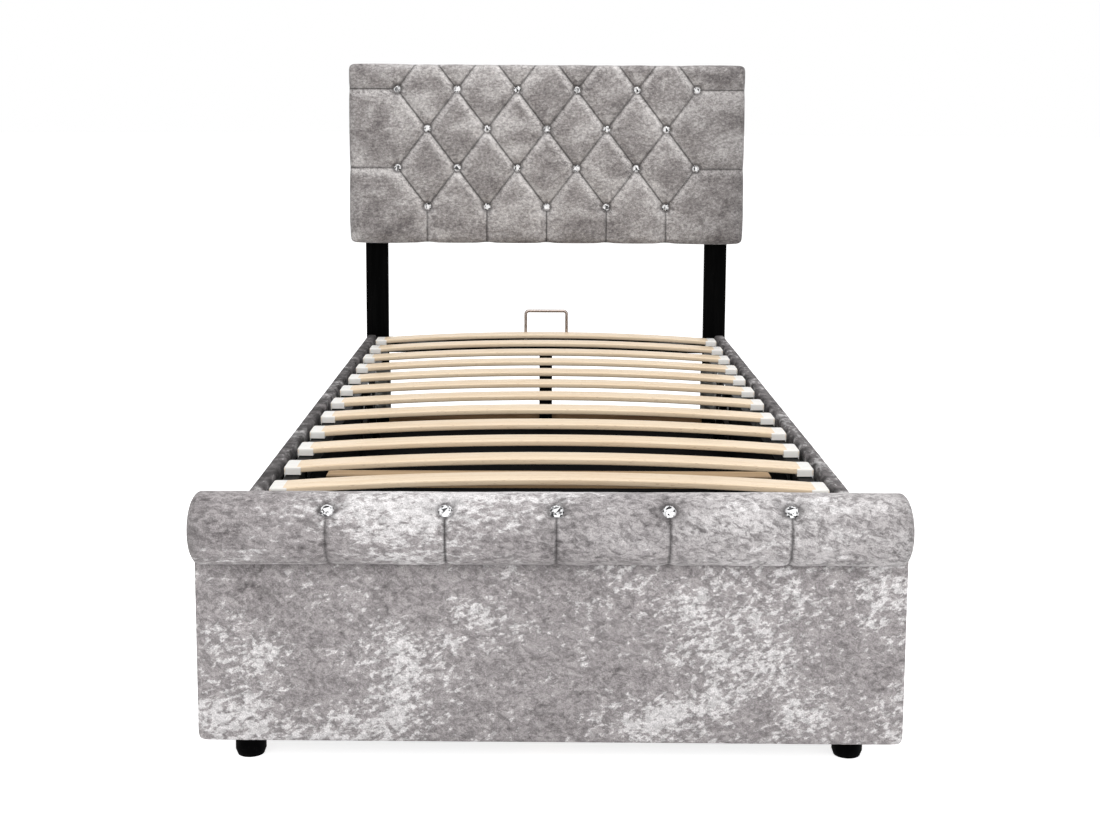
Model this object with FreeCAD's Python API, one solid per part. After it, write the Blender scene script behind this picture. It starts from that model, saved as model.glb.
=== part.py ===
"""Single storage bed whose slatted deck lifts on two gas struts, in millimetres.

The bed stands on the floor at z = 0 with the foot end towards -Y and the headboard towards +Y.
Each function below makes one sub-part and each solid is written under its own name.
"""
import FreeCAD, Part
import math
import os

from FreeCAD import Vector

os.makedirs("parts", exist_ok=True)

# Fits and small allowances
seat_gap = 0.3
pin_clearance = 0.05
slat_clearance = 0.2
overrun = 5.0
weld_bite = 1.0

# Whole bed
rail_run = 2100.0
bed_outer_width = 955.0
rail_top = 326.0
body_bottom = 43.0

# Fasteners
bolt_shank_radius = 4.0
bolt_head_radius = 7.0
bolt_head_thickness = 5.0
bolt_bite = 14.0
hexagon_sides = 6
octagon_sides = 8

# Headboard legs
leg_width = 58.0
leg_thickness = 22.0
leg_overhang = 2.5
leg_top_drop = 111.0
leg_top_radius = 12.0
leg_bolt_rise = 92.0
leg_bolt_drop = 50.0

# Headboard
headboard_overhang = 36.0
headboard_thickness = 75.0
headboard_lift = 252.0
headboard_height = 463.0
headboard_board_thickness = 18.0
headboard_side_padding = 20.0
headboard_corner_radius = 14.0
headboard_front_bevel = 9.0
back_cloth_thickness = 1.2
back_cloth_margin = 12.0

# Diamond tufting of the headboard
tuft_columns = 6
tuft_rows = 4
tuft_side_margin = 124.75
tuft_top_margin = 64.0
tuft_bottom_margin = 95.1
tuft_depth = 19.0
tuft_reach = 47.0
button_clearance = 1.5
button_pocket_depth = 25.0
button_radius = 11.5
button_table_radius = 6.5
button_girdle = 3.0
button_height = 11.0
button_facets = 8

# Footboard
footboard_overhang = 15.0
panel_padding = 8.0
footboard_board_thickness = 18.0
panel_corner_radius = 11.0
panel_edge_radius = 6.0

# Scroll roll on top of the footboard
roll_radius = 50.0
roll_axis_rise = 28.0
roll_forward = 12.0
roll_core_radius = 36.0
roll_end_padding = 14.0
roll_end_bevel = 6.0
roll_pleat_depth = 5.0
roll_pleat_reach = 7.0
cradle_rise = 20.0
roll_button_shares = (-0.615, -0.29, 0.016, 0.325, 0.662)
roll_button_angle = 46.0
roll_pocket_depth = 8.0

# Side rails
rail_board_thickness = 18.0
rail_padding = 3.0
rail_inner_return = 25.0
rail_bottom_return = 18.0
rail_edge_bevel = 2.5

# Storage floor and what carries it
ledger_width = 40.0
ledger_height = 25.0
floor_thickness = 6.0
floor_joint_gap = 1.0
bearer_width = 40.0
bearer_foot_length = 50.0
bearer_foot_count = 3
foot_radius = 22.0
foot_base_radius = 19.0
foot_taper_height = 8.0
foot_side_inset = 61.5
foot_inset = 65.0

# Head end of the base
base_tube_size = 25.0
base_tube_wall = 1.5
base_tube_drop = 5.0
centre_leg_width = 34.0
low_rail_thickness = 18.0
low_rail_rise = 17.0
low_rail_height = 60.0

# Corner brackets
bracket_leg = 40.0
bracket_thickness = 3.0
bracket_rise = 60.0
bracket_height = 130.0
bracket_bolt_inset = 32.0

# Lifting frame
frame_side_gap = 21.2
frame_tube_size = 25.0
frame_tube_wall = 1.5
frame_drop = 2.0
frame_foot_gap = 108.0
frame_head_gap = 112.5

# Sprung slats and their end caps
slat_count = 13
slat_foot_inset = 57.0
slat_head_inset = 46.5
slat_width = 56.0
slat_thickness = 10.0
slat_bow = 17.0
slat_overhang = 1.0
cap_length = 34.0
cap_width = 61.0
cap_height = 16.5
cap_floor = 2.5
cap_overhang = 4.0
cap_end_bevel = 4.0
cap_top_bevel = 1.5
cap_lip_drop = 6.0

# Mattress retainer
retainer_width = 107.0
retainer_rise = 86.0
retainer_wire = 6.0
retainer_bend = 8.0
retainer_bend_steps = 3

# Cross brace under the slats
brace_end_gap = 35.0
brace_width = 45.0
brace_thickness = 20.0
brace_drop = 12.0
brace_from_face = 505.0
brace_bracket_thickness = 3.0
brace_bracket_tongue = 30.0
brace_bracket_width = 30.0

# Lifting hinge and gas struts
pivot_from_head = 270.0
pivot_drop = 37.0
pivot_pin_radius = 6.0
pivot_boss_radius = 12.0
pivot_head_radius = 10.0
pivot_head_thickness = 3.0
lower_stud_forward = 58.0
lower_stud_drop = 155.0
upper_stud_rise = 15.0
stud_radius = 4.0
stud_collar_radius = 10.0
stud_nut_radius = 11.0
stud_nut_thickness = 4.0
strut_side_gap = 0.4
strut_axis_inset = 14.0

hinge_plate_thickness = 4.0
hinge_plate_rise = 28.0
hinge_plate_width = 108.0
hinge_plate_foot_width = 84.0
hinge_plate_margin = 22.0
hinge_plate_corner = 14.0
hinge_window_width = 30.0
hinge_window_length = 62.0
hinge_window_corner = 8.0
screw_head_radius = 6.5
screw_head_height = 4.0
screw_inset = 15.0

arm_thickness = 4.0
arm_top_drop = 10.0
arm_web = 13.0
arm_tail = 48.0
arm_pivot_radius = 20.0
arm_stud_radius = 15.0
arm_ear_spread = 48.0

strut_eye_radius = 13.0
strut_eye_width = 10.0
strut_open_clearance = 3.3
strut_length_lead = 1.58
strut_angle_lead = 0.435
strut_neck_radius = 4.5
strut_neck_length = 12.0
strut_cylinder_radius = 9.0
strut_cylinder_length = 244.0
strut_rod_show = 15.323
strut_rod_radius = 4.0
strut_rod_foot_gap = 8.0
strut_bore_margin = 4.0

# Stops that the closed frame rests on
stop_from_face = 150.0
stop_width = 30.0
stop_thickness = 7.0
stop_back_height = 60.0
stop_rib = 6.0

# Widths and heights that follow the rails
headboard_width = bed_outer_width + 2 * headboard_overhang
headboard_bottom = rail_top + headboard_lift
headboard_top = headboard_bottom + headboard_height
footboard_width = bed_outer_width + 2 * footboard_overhang
roll_axis_height = rail_top + roll_axis_rise
leg_height = headboard_top - leg_top_drop
leg_bolt_heights = (headboard_bottom + leg_bolt_rise, leg_height - leg_bolt_drop)
base_tube_top = rail_top - base_tube_drop
frame_top = rail_top - frame_drop
retainer_top = frame_top + retainer_rise
arm_top = frame_top - arm_top_drop
low_rail_bottom = body_bottom + low_rail_rise
low_rail_top = low_rail_bottom + low_rail_height
bracket_bottom = body_bottom + bracket_rise

# Spacing of the tufting
tuft_pitch_x = (headboard_width - 2 * tuft_side_margin) / (tuft_columns - 1)
tuft_pitch_z = (headboard_height - tuft_top_margin - tuft_bottom_margin) / (tuft_rows - 1)
top_tuft_height = headboard_top - tuft_top_margin

# Stations along the bed
overall_length = roll_radius + roll_forward + rail_run + leg_thickness + bolt_head_thickness
roll_front_y = -overall_length / 2
face_y = roll_front_y + roll_radius + roll_forward
roll_axis_y = face_y - roll_forward
board_front_y = face_y + panel_padding + seat_gap
board_back_y = board_front_y + footboard_board_thickness
legs_front_y = face_y + rail_run
legs_back_y = legs_front_y + leg_thickness
head_board_back_y = legs_front_y - back_cloth_thickness - 2 * seat_gap
head_board_front_y = head_board_back_y - headboard_board_thickness
headboard_front_y = legs_front_y - headboard_thickness
pivot_y = legs_front_y - pivot_from_head
frame_foot_y = face_y + frame_foot_gap
frame_head_y = legs_front_y - frame_head_gap
last_slat_y = frame_foot_y + slat_foot_inset
slat_pitch = (frame_head_y - slat_head_inset - last_slat_y) / (slat_count - 1)

# Stations across and up the bed
rail_outer_x = bed_outer_width / 2
rail_board_outer_x = rail_outer_x - rail_padding - seat_gap
rail_inner_x = rail_board_outer_x - rail_board_thickness
rail_board_top = rail_top - rail_padding - seat_gap
rail_board_bottom = body_bottom + rail_padding + seat_gap
leg_outer_x = rail_outer_x + leg_overhang
leg_inner_x = leg_outer_x - leg_width
leg_centre_x = leg_outer_x - leg_width / 2
frame_outer_x = rail_inner_x - frame_side_gap
frame_inner_x = frame_outer_x - frame_tube_size
frame_bottom = frame_top - frame_tube_size
slat_length = 2 * (frame_outer_x + slat_overhang)
foot_centre_x = footboard_width / 2 - foot_side_inset
pivot_height = frame_bottom - pivot_drop
hinge_plate_top = pivot_height + hinge_plate_rise
ledger_top = rail_board_bottom + ledger_height
base_tube_bottom = base_tube_top - base_tube_size
plate_inner_x = rail_inner_x - hinge_plate_thickness
arm_outer_x = frame_outer_x + arm_thickness
strut_axis_x = frame_outer_x - strut_axis_inset
eye_outer_x = strut_axis_x + strut_eye_width / 2
eye_inner_x = strut_axis_x - strut_eye_width / 2
lower_stud_y = pivot_y - lower_stud_forward
lower_stud_z = pivot_height - lower_stud_drop
strut_closed_length = 2 * strut_eye_radius + strut_neck_length + strut_cylinder_length + strut_rod_show
stud_span = strut_closed_length - strut_length_lead
upper_stud_forward = lower_stud_forward + math.sqrt(
    stud_span ** 2 - (lower_stud_drop + upper_stud_rise) ** 2
)
upper_stud_y = pivot_y - upper_stud_forward
upper_stud_z = pivot_height + upper_stud_rise


def box(x0, x1, y0, y1, z0, z1):
    """A block between two corners."""
    return Part.makeBox(x1 - x0, y1 - y0, z1 - z0, Vector(x0, y0, z0))


def bar_x(radius, x0, x1, y, z):
    """A round bar along X."""
    return Part.makeCylinder(radius, x1 - x0, Vector(x0, y, z), Vector(1, 0, 0))


def bar_z(radius, z0, z1, x, y):
    """A round bar along Z."""
    return Part.makeCylinder(radius, z1 - z0, Vector(x, y, z0), Vector(0, 0, 1))


def plate_yz(points, x0, x1):
    """A flat plate between two X stations, with an outline of (y, z) points."""
    corners = [Vector(x0, y, z) for y, z in points]
    face = Part.Face(Part.makePolygon(corners + corners[:1]))
    return face.extrude(Vector(x1 - x0, 0, 0))


def plate_xz(points, y0, y1):
    """A flat plate between two Y stations, with an outline of (x, z) points."""
    corners = [Vector(x, y0, z) for x, z in points]
    face = Part.Face(Part.makePolygon(corners + corners[:1]))
    return face.extrude(Vector(0, y1 - y0, 0))


def edges_along(shape, direction, test=None):
    """The straight edges of a shape that run along a direction and pass a test on their middle."""
    found = []
    for edge in shape.Edges:
        if edge.Curve.TypeId != "Part::GeomLine":
            continue
        run = edge.Vertexes[-1].Point.sub(edge.Vertexes[0].Point)
        aligned = abs(abs(run.dot(direction)) - run.Length) < pin_clearance
        middle = edge.BoundBox.Center
        if aligned and (test is None or test(middle)):
            found.append(edge)
    return found


def rounded(shape, radius, direction, test=None):
    """The shape with those of its edges that run along a direction rounded."""
    return shape.makeFillet(radius, edges_along(shape, direction, test))


def bevelled(shape, size, direction, test=None):
    """The shape with those of its edges that run along a direction bevelled."""
    return shape.makeChamfer(size, edges_along(shape, direction, test))


def polygon_about(centre, outward, radius, sides):
    """The corners of a regular polygon about an axis."""
    side = Vector(1, 0, 0) if abs(outward.x) < abs(outward.y) + abs(outward.z) else Vector(0, 1, 0)
    across = outward.cross(side).normalize()
    up = outward.cross(across).normalize()
    return [
        centre
        + across * (radius * math.cos(2 * math.pi * step / sides))
        + up * (radius * math.sin(2 * math.pi * step / sides))
        for step in range(sides)
    ]


def prism(centre, outward, radius, height, sides=hexagon_sides):
    """A regular prism that stands on a point and rises along a direction."""
    corners = polygon_about(centre, outward, radius, sides)
    return Part.Face(Part.makePolygon(corners + corners[:1])).extrude(outward * height)


def mirrored(shape):
    """The left-hand twin of a right-hand piece."""
    return shape.mirror(Vector(0, 0, 0), Vector(1, 0, 0))


def save(name, shape):
    """Write one sub-part, which is one solid or a group of separate solids."""
    solids = shape if isinstance(shape, list) else [shape]
    whole = []
    for piece in solids:
        whole.extend(piece.Solids)
    out = whole[0] if len(whole) == 1 else Part.makeCompound(whole)
    out.exportStep(os.path.join("parts", name + ".step"))
    print(name, "solids", len(whole), "volume", round(out.Volume))


def save_pair(name, shape):
    """Write the right-hand piece and its mirrored left-hand twin."""
    save(name + "_right", shape)
    save(name + "_left", mirrored(shape))


def roll_bar(radius):
    """A full-width bar on the axis of the footboard's roll."""
    half = footboard_width / 2 + overrun
    return bar_x(radius, -half, half, roll_axis_y, roll_axis_height)


# Headboard

def end_column(row):
    """The half steps from the middle of the headboard to the end button of a row."""
    return tuft_columns - 1 - row % 2


def tuft_place(column, row):
    """The (x, z) place of a button, counted in half steps from the middle and rows from the top."""
    return column * tuft_pitch_x / 2, top_tuft_height - row * tuft_pitch_z


def tuft_places():
    """Every button of the headboard as (x, z); the odd rows are one button shorter."""
    return [
        tuft_place(column, row)
        for row in range(tuft_rows)
        for column in range(-end_column(row), end_column(row) + 1, 2)
    ]


def tuft_profile(side):
    """One flank of a pleat as two slopes on a curve that is level at the crown."""
    bend = (tuft_reach ** 2 + tuft_depth ** 2) / (2 * tuft_depth)
    half_turn = math.asin(tuft_reach / bend) / 2
    crown = (side * tuft_reach, 0)
    middle = (side * (tuft_reach - bend * math.sin(half_turn)), bend - bend * math.cos(half_turn))
    return crown, middle, (0, tuft_depth)


def pleat_cutter(start, end):
    """What one straight pleat takes out of the padding, from one (x, z) place to another."""
    run = Vector(end[0] - start[0], 0, end[1] - start[1])
    across = Vector(-run.z, 0, run.x).normalize()
    origin = Vector(start[0], headboard_front_y, start[1])

    def place(point):
        """A point of the flank, as distance across and depth, on the section at the start."""
        return origin + across * point[0] + Vector(0, point[1], 0)

    left, left_middle, bottom = [place(point) for point in tuft_profile(-1)]
    right, right_middle, _ = [place(point) for point in tuft_profile(1)]
    out = Vector(0, -overrun, 0)
    section = [left, left_middle, bottom, right_middle, right, right + out, left + out, left]
    return Part.Face(Part.makePolygon(section)).extrude(run)


def button_pocket(seat, outward, depth):
    """The pocket that holds a button: as many sides as the button, and open to the outside."""
    return prism(seat, outward, button_radius + button_clearance, depth + overrun, button_facets)


def diagonal_steps(column, side):
    """The rows that a pleat runs down from a top button before it leaves the tufting."""
    steps = 0
    while steps + 1 < tuft_rows and abs(column + side * (steps + 1)) <= end_column(steps + 1):
        steps += 1
    return steps


def pleat_lines():
    """Every straight pleat of the headboard as a pair of (x, z) ends."""
    lines = []
    rise = headboard_top + overrun - top_tuft_height
    lean = rise * tuft_pitch_x / 2 / tuft_pitch_z
    edge_x = headboard_width / 2 + overrun
    last = tuft_rows - 1
    for side in (-1, 1):
        for column in range(-end_column(0), end_column(0) + 1, 2):
            x, z = tuft_place(column, 0)
            steps = diagonal_steps(column, side)
            lines.append(((x - side * lean, z + rise), tuft_place(column + side * steps, steps)))
        for row in range(0, tuft_rows, 2):
            outer = tuft_place(side * end_column(row), row)
            lines.append((outer, (side * edge_x, outer[1])))
            if 0 < row < last:
                lines.append((outer, tuft_place(side * end_column(row + 1), row + 1)))
    for column in range(-end_column(last), end_column(last) + 1, 2):
        x, z = tuft_place(column, last)
        lines.append(((x, z), (x, headboard_bottom - overrun)))
    return lines


def headboard_cover():
    """The padded front and sides of the headboard, with its pleats and button pockets."""
    half = headboard_width / 2
    slab = box(-half, half, headboard_front_y, head_board_back_y, headboard_bottom, headboard_top)
    slab = rounded(slab, headboard_corner_radius, Vector(0, 1, 0))
    front = [
        edge for edge in slab.Edges
        if abs(edge.BoundBox.YMax - headboard_front_y) < pin_clearance
    ]
    slab = slab.makeChamfer(headboard_front_bevel, front)
    board_half = half - headboard_side_padding
    slab = slab.cut(box(
        -board_half, board_half, head_board_front_y - seat_gap, head_board_back_y + overrun,
        headboard_bottom + headboard_side_padding, headboard_top - headboard_side_padding,
    ))
    outward = Vector(0, -1, 0)
    cutters = [pleat_cutter(start, end) for start, end in pleat_lines()]
    cutters += [
        button_pocket(Vector(x, headboard_front_y + button_pocket_depth, z), outward, button_pocket_depth)
        for x, z in tuft_places()
    ]
    for cutter in cutters:
        slab = slab.cut(cutter)
    return slab


def headboard_board():
    """The board inside the headboard, with holes for the leg bolts."""
    half = headboard_width / 2 - headboard_side_padding - seat_gap
    bottom = headboard_bottom + headboard_side_padding + seat_gap
    top = headboard_top - headboard_side_padding - seat_gap
    board = box(-half, half, head_board_front_y, head_board_back_y, bottom, top)
    for hole in leg_bolt_holes():
        board = board.cut(hole)
    return board


def headboard_back_cloth():
    """The thin cloth that closes the back of the headboard."""
    half = headboard_width / 2 - back_cloth_margin
    start = head_board_back_y + seat_gap
    cloth = box(
        -half, half, start, start + back_cloth_thickness,
        headboard_bottom + back_cloth_margin, headboard_top - back_cloth_margin,
    )
    for x, z in leg_bolt_places():
        snip = bolt_shank_radius + back_cloth_thickness
        cloth = cloth.cut(box(
            x - snip, x + snip, start - overrun, legs_front_y + overrun, z - snip, z + snip,
        ))
    return cloth


def solid_through(rings):
    """The flat-faced solid through rings with as many corners, the first and last one closed."""
    faces = [Part.Face(Part.makePolygon(ring + ring[:1])) for ring in (rings[0], rings[-1])]
    for low, high in zip(rings, rings[1:]):
        for index in range(len(low)):
            after = (index + 1) % len(low)
            faces.append(Part.Face(Part.makePolygon(
                [low[index], low[after], high[after], high[index], low[index]]
            )))
    shell = Part.makeShell(faces)
    shell.sewShape()
    solid = Part.makeSolid(Part.Shell(shell.Faces))
    if solid.Volume < 0:
        solid.reverse()
    return solid


def crystal(seat, outward):
    """A faceted button on a seat: a girdle, a sloping crown and a flat table."""
    return solid_through([
        polygon_about(seat + outward * height, outward, radius, button_facets)
        for height, radius in (
            (0, button_radius), (button_girdle, button_radius), (button_height, button_table_radius),
        )
    ])


def headboard_buttons():
    """All buttons of the headboard, each seated at the bottom of its pocket."""
    seat_y = headboard_front_y + button_pocket_depth - seat_gap
    return [crystal(Vector(x, seat_y, z), Vector(0, -1, 0)) for x, z in tuft_places()]


def leg_bolt_places():
    """The leg bolts as (x, z)."""
    return [(side * leg_centre_x, height) for side in (-1, 1) for height in leg_bolt_heights]


def leg_bolt_holes():
    """The clearance holes of the leg bolts through the legs and into the board."""
    start = head_board_back_y - bolt_bite
    return [
        prism(
            Vector(x, start, z), Vector(0, 1, 0), bolt_shank_radius + pin_clearance,
            legs_back_y + overrun - start, octagon_sides,
        )
        for x, z in leg_bolt_places()
    ]


def headboard_leg():
    """The right-hand headboard leg, a flat board from the floor to behind the headboard."""
    leg = box(leg_inner_x, leg_outer_x, legs_front_y, legs_back_y, 0, leg_height)
    leg = rounded(leg, leg_top_radius, Vector(0, 1, 0), lambda p: p.z > leg_height - overrun)
    for hole in leg_bolt_holes():
        leg = leg.cut(hole)
    return leg


# Footboard

def board_block(grow):
    """The footboard's board, grown by a gap, before its cradle is cut."""
    half = footboard_width / 2 - panel_padding - seat_gap + grow
    return box(
        -half, half, board_front_y - grow, board_back_y + grow,
        body_bottom + panel_padding + seat_gap - grow, roll_axis_height + cradle_rise + grow,
    )


def footboard_board():
    """The footboard's board, hollowed at the top as a cradle for the roll's core."""
    return board_block(0).cut(roll_bar(roll_core_radius))


def footboard_roll_core():
    """The round pole that the roll is built on."""
    half = footboard_width / 2 - roll_end_padding
    return bar_x(roll_core_radius, -half, half, roll_axis_y, roll_axis_height)


def roll_button_places():
    """The places of the roll's buttons across the bed."""
    return [share * footboard_width / 2 for share in roll_button_shares]


def roll_outline():
    """The roll's radius along its length as (x, radius), drawn in at the ends and at each pleat."""
    half = footboard_width / 2
    outline = [(-half, roll_radius - roll_end_bevel), (-half + roll_end_bevel, roll_radius)]
    for x in roll_button_places():
        outline += [
            (x - roll_pleat_reach, roll_radius), (x, roll_radius - roll_pleat_depth),
            (x + roll_pleat_reach, roll_radius),
        ]
    return outline + [(half - roll_end_bevel, roll_radius), (half, roll_radius - roll_end_bevel)]


def roll_button_direction():
    """The direction that the roll's buttons face, up and forwards."""
    angle = math.radians(roll_button_angle)
    return Vector(0, -math.cos(angle), math.sin(angle))


def roll_button_seats(lift):
    """The bottoms of the roll's button pockets, raised by a distance."""
    reach = roll_radius - roll_pleat_depth - roll_pocket_depth + lift
    return [
        Vector(x, roll_axis_y, roll_axis_height) + roll_button_direction() * reach
        for x in roll_button_places()
    ]


def footboard_roll_cover():
    """The padded skin of the roll, drawn in at each button's pleat."""
    rings = [
        Part.Wire(Part.makeCircle(radius, Vector(x, roll_axis_y, roll_axis_height), Vector(1, 0, 0)))
        for x, radius in roll_outline()
    ]
    skin = Part.makeLoft(rings, True, True)
    core_half = footboard_width / 2 - roll_end_padding + seat_gap
    skin = skin.cut(bar_x(
        roll_core_radius + seat_gap, -core_half, core_half, roll_axis_y, roll_axis_height,
    ))
    skin = skin.cut(board_block(seat_gap))
    for seat in roll_button_seats(0):
        skin = skin.cut(button_pocket(seat, roll_button_direction(), roll_pleat_depth + roll_pocket_depth))
    return max(skin.Solids, key=lambda solid: solid.Volume)


def footboard_buttons():
    """The roll's buttons, each tilted up and forwards at the bottom of its pocket."""
    return [crystal(seat, roll_button_direction()) for seat in roll_button_seats(seat_gap)]


def footboard_panel_cover():
    """The velvet skin over the footboard's face, sides and lower edge."""
    half = footboard_width / 2
    block = box(-half, half, face_y, board_back_y - seat_gap, body_bottom, roll_axis_height)
    block = rounded(block, panel_corner_radius, Vector(0, 1, 0), lambda p: p.z < roll_axis_height - overrun)
    block = rounded(block, panel_edge_radius, Vector(0, 0, 1), lambda p: p.y < face_y + seat_gap)
    return block.cut(board_block(seat_gap)).cut(roll_bar(roll_radius + seat_gap))


# Base: side rails, corners, storage floor

def side_rail():
    """The right-hand side rail's board, coped round the footboard's roll."""
    board = box(
        rail_inner_x, rail_board_outer_x, board_back_y, legs_front_y, rail_board_bottom, rail_board_top,
    )
    return board.cut(roll_bar(roll_radius + 2 * seat_gap))


def rail_cover():
    """The velvet skin of the right-hand rail: outer face, top, and a return on the inside."""
    inner = rail_inner_x - rail_padding - seat_gap
    skin = box(inner, rail_outer_x, board_back_y + seat_gap, legs_front_y - seat_gap, body_bottom, rail_top)
    skin = bevelled(skin, rail_edge_bevel, Vector(0, 1, 0))
    start = board_back_y - overrun
    end = legs_front_y + overrun
    board_void = box(
        rail_inner_x - seat_gap, rail_board_outer_x + seat_gap, start, end,
        rail_board_bottom - seat_gap, rail_board_top + seat_gap,
    )
    inner_void = box(
        inner - overrun, rail_inner_x, start, end, body_bottom - overrun, rail_top - rail_inner_return,
    )
    bottom_void = box(
        inner - overrun, rail_board_outer_x - rail_bottom_return, start, end,
        body_bottom - overrun, rail_board_bottom,
    )
    skin = skin.cut(board_void).cut(inner_void).cut(bottom_void)
    return skin.cut(roll_bar(roll_radius + 2 * seat_gap))


def corner_brackets():
    """Four folded steel angles that tie the rails to the footboard and the legs, with their screws."""
    brackets = []
    middle = bracket_bottom + bracket_height / 2
    top = bracket_bottom + bracket_height
    flange_middle = (bracket_leg + bracket_thickness) / 2
    for corner_y, inward in ((board_back_y, 1), (legs_front_y, -1)):
        far_y = corner_y + inward * bracket_leg
        near_y = corner_y + inward * bracket_thickness
        on_rail = box(
            rail_inner_x - bracket_thickness, rail_inner_x, min(corner_y, far_y), max(corner_y, far_y),
            bracket_bottom, top,
        )
        on_end = box(
            rail_inner_x - bracket_leg, rail_inner_x, min(corner_y, near_y), max(corner_y, near_y),
            bracket_bottom, top,
        )
        heads = []
        for z in (middle - bracket_bolt_inset, middle + bracket_bolt_inset):
            rail_seat = Vector(rail_inner_x - bracket_thickness, corner_y + inward * flange_middle, z)
            end_seat = Vector(rail_inner_x - flange_middle, near_y, z)
            heads.append(prism(rail_seat, Vector(-1, 0, 0), screw_head_radius, screw_head_height))
            heads.append(prism(end_seat, Vector(0, inward, 0), screw_head_radius, screw_head_height))
        angle = on_rail.fuse([on_end] + heads).removeSplitter()
        brackets.extend([angle, mirrored(angle)])
    return brackets


def leg_bolts():
    """The hexagon bolts that hold the headboard to its legs."""
    start = head_board_back_y - bolt_bite + pin_clearance
    outward = Vector(0, 1, 0)
    bolts = []
    for x, z in leg_bolt_places():
        shank = prism(
            Vector(x, start, z), outward, bolt_shank_radius, legs_back_y - start, octagon_sides,
        )
        head = prism(Vector(x, legs_back_y, z), outward, bolt_head_radius, bolt_head_thickness)
        bolts.append(shank.fuse(head))
    return bolts


def ledger():
    """The right-hand batten that carries the storage floor along the rail."""
    return box(
        rail_inner_x - ledger_width, rail_inner_x, board_back_y, legs_front_y, rail_board_bottom, ledger_top,
    )


def floor_panels():
    """The two panels of the storage floor, the head one notched round the centre leg."""
    half = rail_inner_x - seat_gap
    start = board_back_y + seat_gap
    end = legs_front_y - seat_gap
    middle = (start + end) / 2
    top = ledger_top + floor_thickness
    foot_panel = box(-half, half, start, middle - floor_joint_gap / 2, ledger_top, top)
    head_panel = box(-half, half, middle + floor_joint_gap / 2, end, ledger_top, top)
    notch = centre_leg_width / 2 + seat_gap
    head_panel = head_panel.cut(box(
        -notch, notch, legs_front_y - base_tube_size - seat_gap, end + overrun,
        ledger_top - overrun, top + overrun,
    ))
    return foot_panel, head_panel


def floor_bearer():
    """The batten under the middle of the storage floor."""
    half = bearer_width / 2
    end = legs_front_y - base_tube_size - seat_gap
    return box(-half, half, board_back_y, end, rail_board_bottom, ledger_top)


def bearer_feet():
    """Square blocks under the floor bearer, evenly spaced."""
    run = legs_front_y - board_back_y
    step = run / (bearer_foot_count + 1)
    half = bearer_width / 2
    blocks = []
    for index in range(bearer_foot_count):
        start = board_back_y + step * (index + 1) - bearer_foot_length / 2
        blocks.append(box(-half, half, start, start + bearer_foot_length, 0, rail_board_bottom))
    return blocks


def foot():
    """The right-hand round foot under the foot end, drawn in towards the floor."""
    y = face_y + foot_inset
    centre = Vector(foot_centre_x, y, 0)
    taper = Part.makeCone(foot_base_radius, foot_radius, foot_taper_height, centre)
    drum = bar_z(foot_radius, foot_taper_height, rail_board_bottom, foot_centre_x, y)
    return taper.fuse(drum).removeSplitter()


def head_cross_tube():
    """The fixed tube across the head end of the base."""
    half = rail_inner_x - rail_padding - 2 * seat_gap
    start = legs_front_y - base_tube_size
    outer = box(-half, half, start, legs_front_y, base_tube_bottom, base_tube_top)
    wall = base_tube_wall
    inner = box(
        -half - overrun, half + overrun, start + wall, legs_front_y - wall,
        base_tube_bottom + wall, base_tube_top - wall,
    )
    return outer.cut(inner)


def centre_leg():
    """The flat tube that props the head cross tube at the middle."""
    half = centre_leg_width / 2
    start = legs_front_y - base_tube_size
    wall = base_tube_wall
    outer = box(-half, half, start, legs_front_y, 0, base_tube_bottom)
    inner = box(
        -half + wall, half - wall, start + wall, legs_front_y - wall, wall, base_tube_bottom + overrun,
    )
    return outer.cut(inner)


def low_head_rail():
    """The low timber rail between the headboard legs that closes the storage floor."""
    return box(
        -leg_inner_x, leg_inner_x, legs_front_y, legs_front_y + low_rail_thickness,
        low_rail_bottom, low_rail_top,
    )


def frame_stop():
    """A moulded stop on the right-hand rail: back plate, shelf and rib under the frame's side tube."""
    start = face_y + stop_from_face
    end = start + stop_width
    top = frame_bottom - seat_gap
    shelf_inner_x = frame_inner_x
    shelf = box(shelf_inner_x, rail_inner_x, start, end, top - stop_thickness, top)
    back = box(rail_inner_x - stop_thickness, rail_inner_x, start, end, top - stop_back_height, top)
    middle = (start + end) / 2
    corners = [
        Vector(shelf_inner_x, middle - stop_rib / 2, top - stop_thickness),
        Vector(rail_inner_x - stop_thickness, middle - stop_rib / 2, top - stop_thickness),
        Vector(rail_inner_x - stop_thickness, middle - stop_rib / 2, top - stop_back_height),
    ]
    rib = Part.Face(Part.makePolygon(corners + corners[:1])).extrude(Vector(0, stop_rib, 0))
    return shelf.fuse([back, rib]).removeSplitter()


# Lifting frame

def frame_side_tube():
    """The right-hand side tube of the lifting frame."""
    wall = frame_tube_wall
    outer = box(frame_inner_x, frame_outer_x, frame_foot_y, frame_head_y, frame_bottom, frame_top)
    inner = box(
        frame_inner_x + wall, frame_outer_x - wall, frame_foot_y - overrun, frame_head_y + overrun,
        frame_bottom + wall, frame_top - wall,
    )
    return outer.cut(inner)


def frame_cross_tube(start_y):
    """A cross tube welded between the frame's side tubes."""
    wall = frame_tube_wall
    end_y = start_y + frame_tube_size
    outer = box(-frame_inner_x, frame_inner_x, start_y, end_y, frame_bottom, frame_top)
    inner = box(
        -frame_inner_x - overrun, frame_inner_x + overrun, start_y + wall, end_y - wall,
        frame_bottom + wall, frame_top - wall,
    )
    return outer.cut(inner)


def lift_head_tube():
    """The head tube of the lifting frame, which carries the mattress retainer."""
    return frame_cross_tube(frame_head_y - frame_tube_size)


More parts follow.
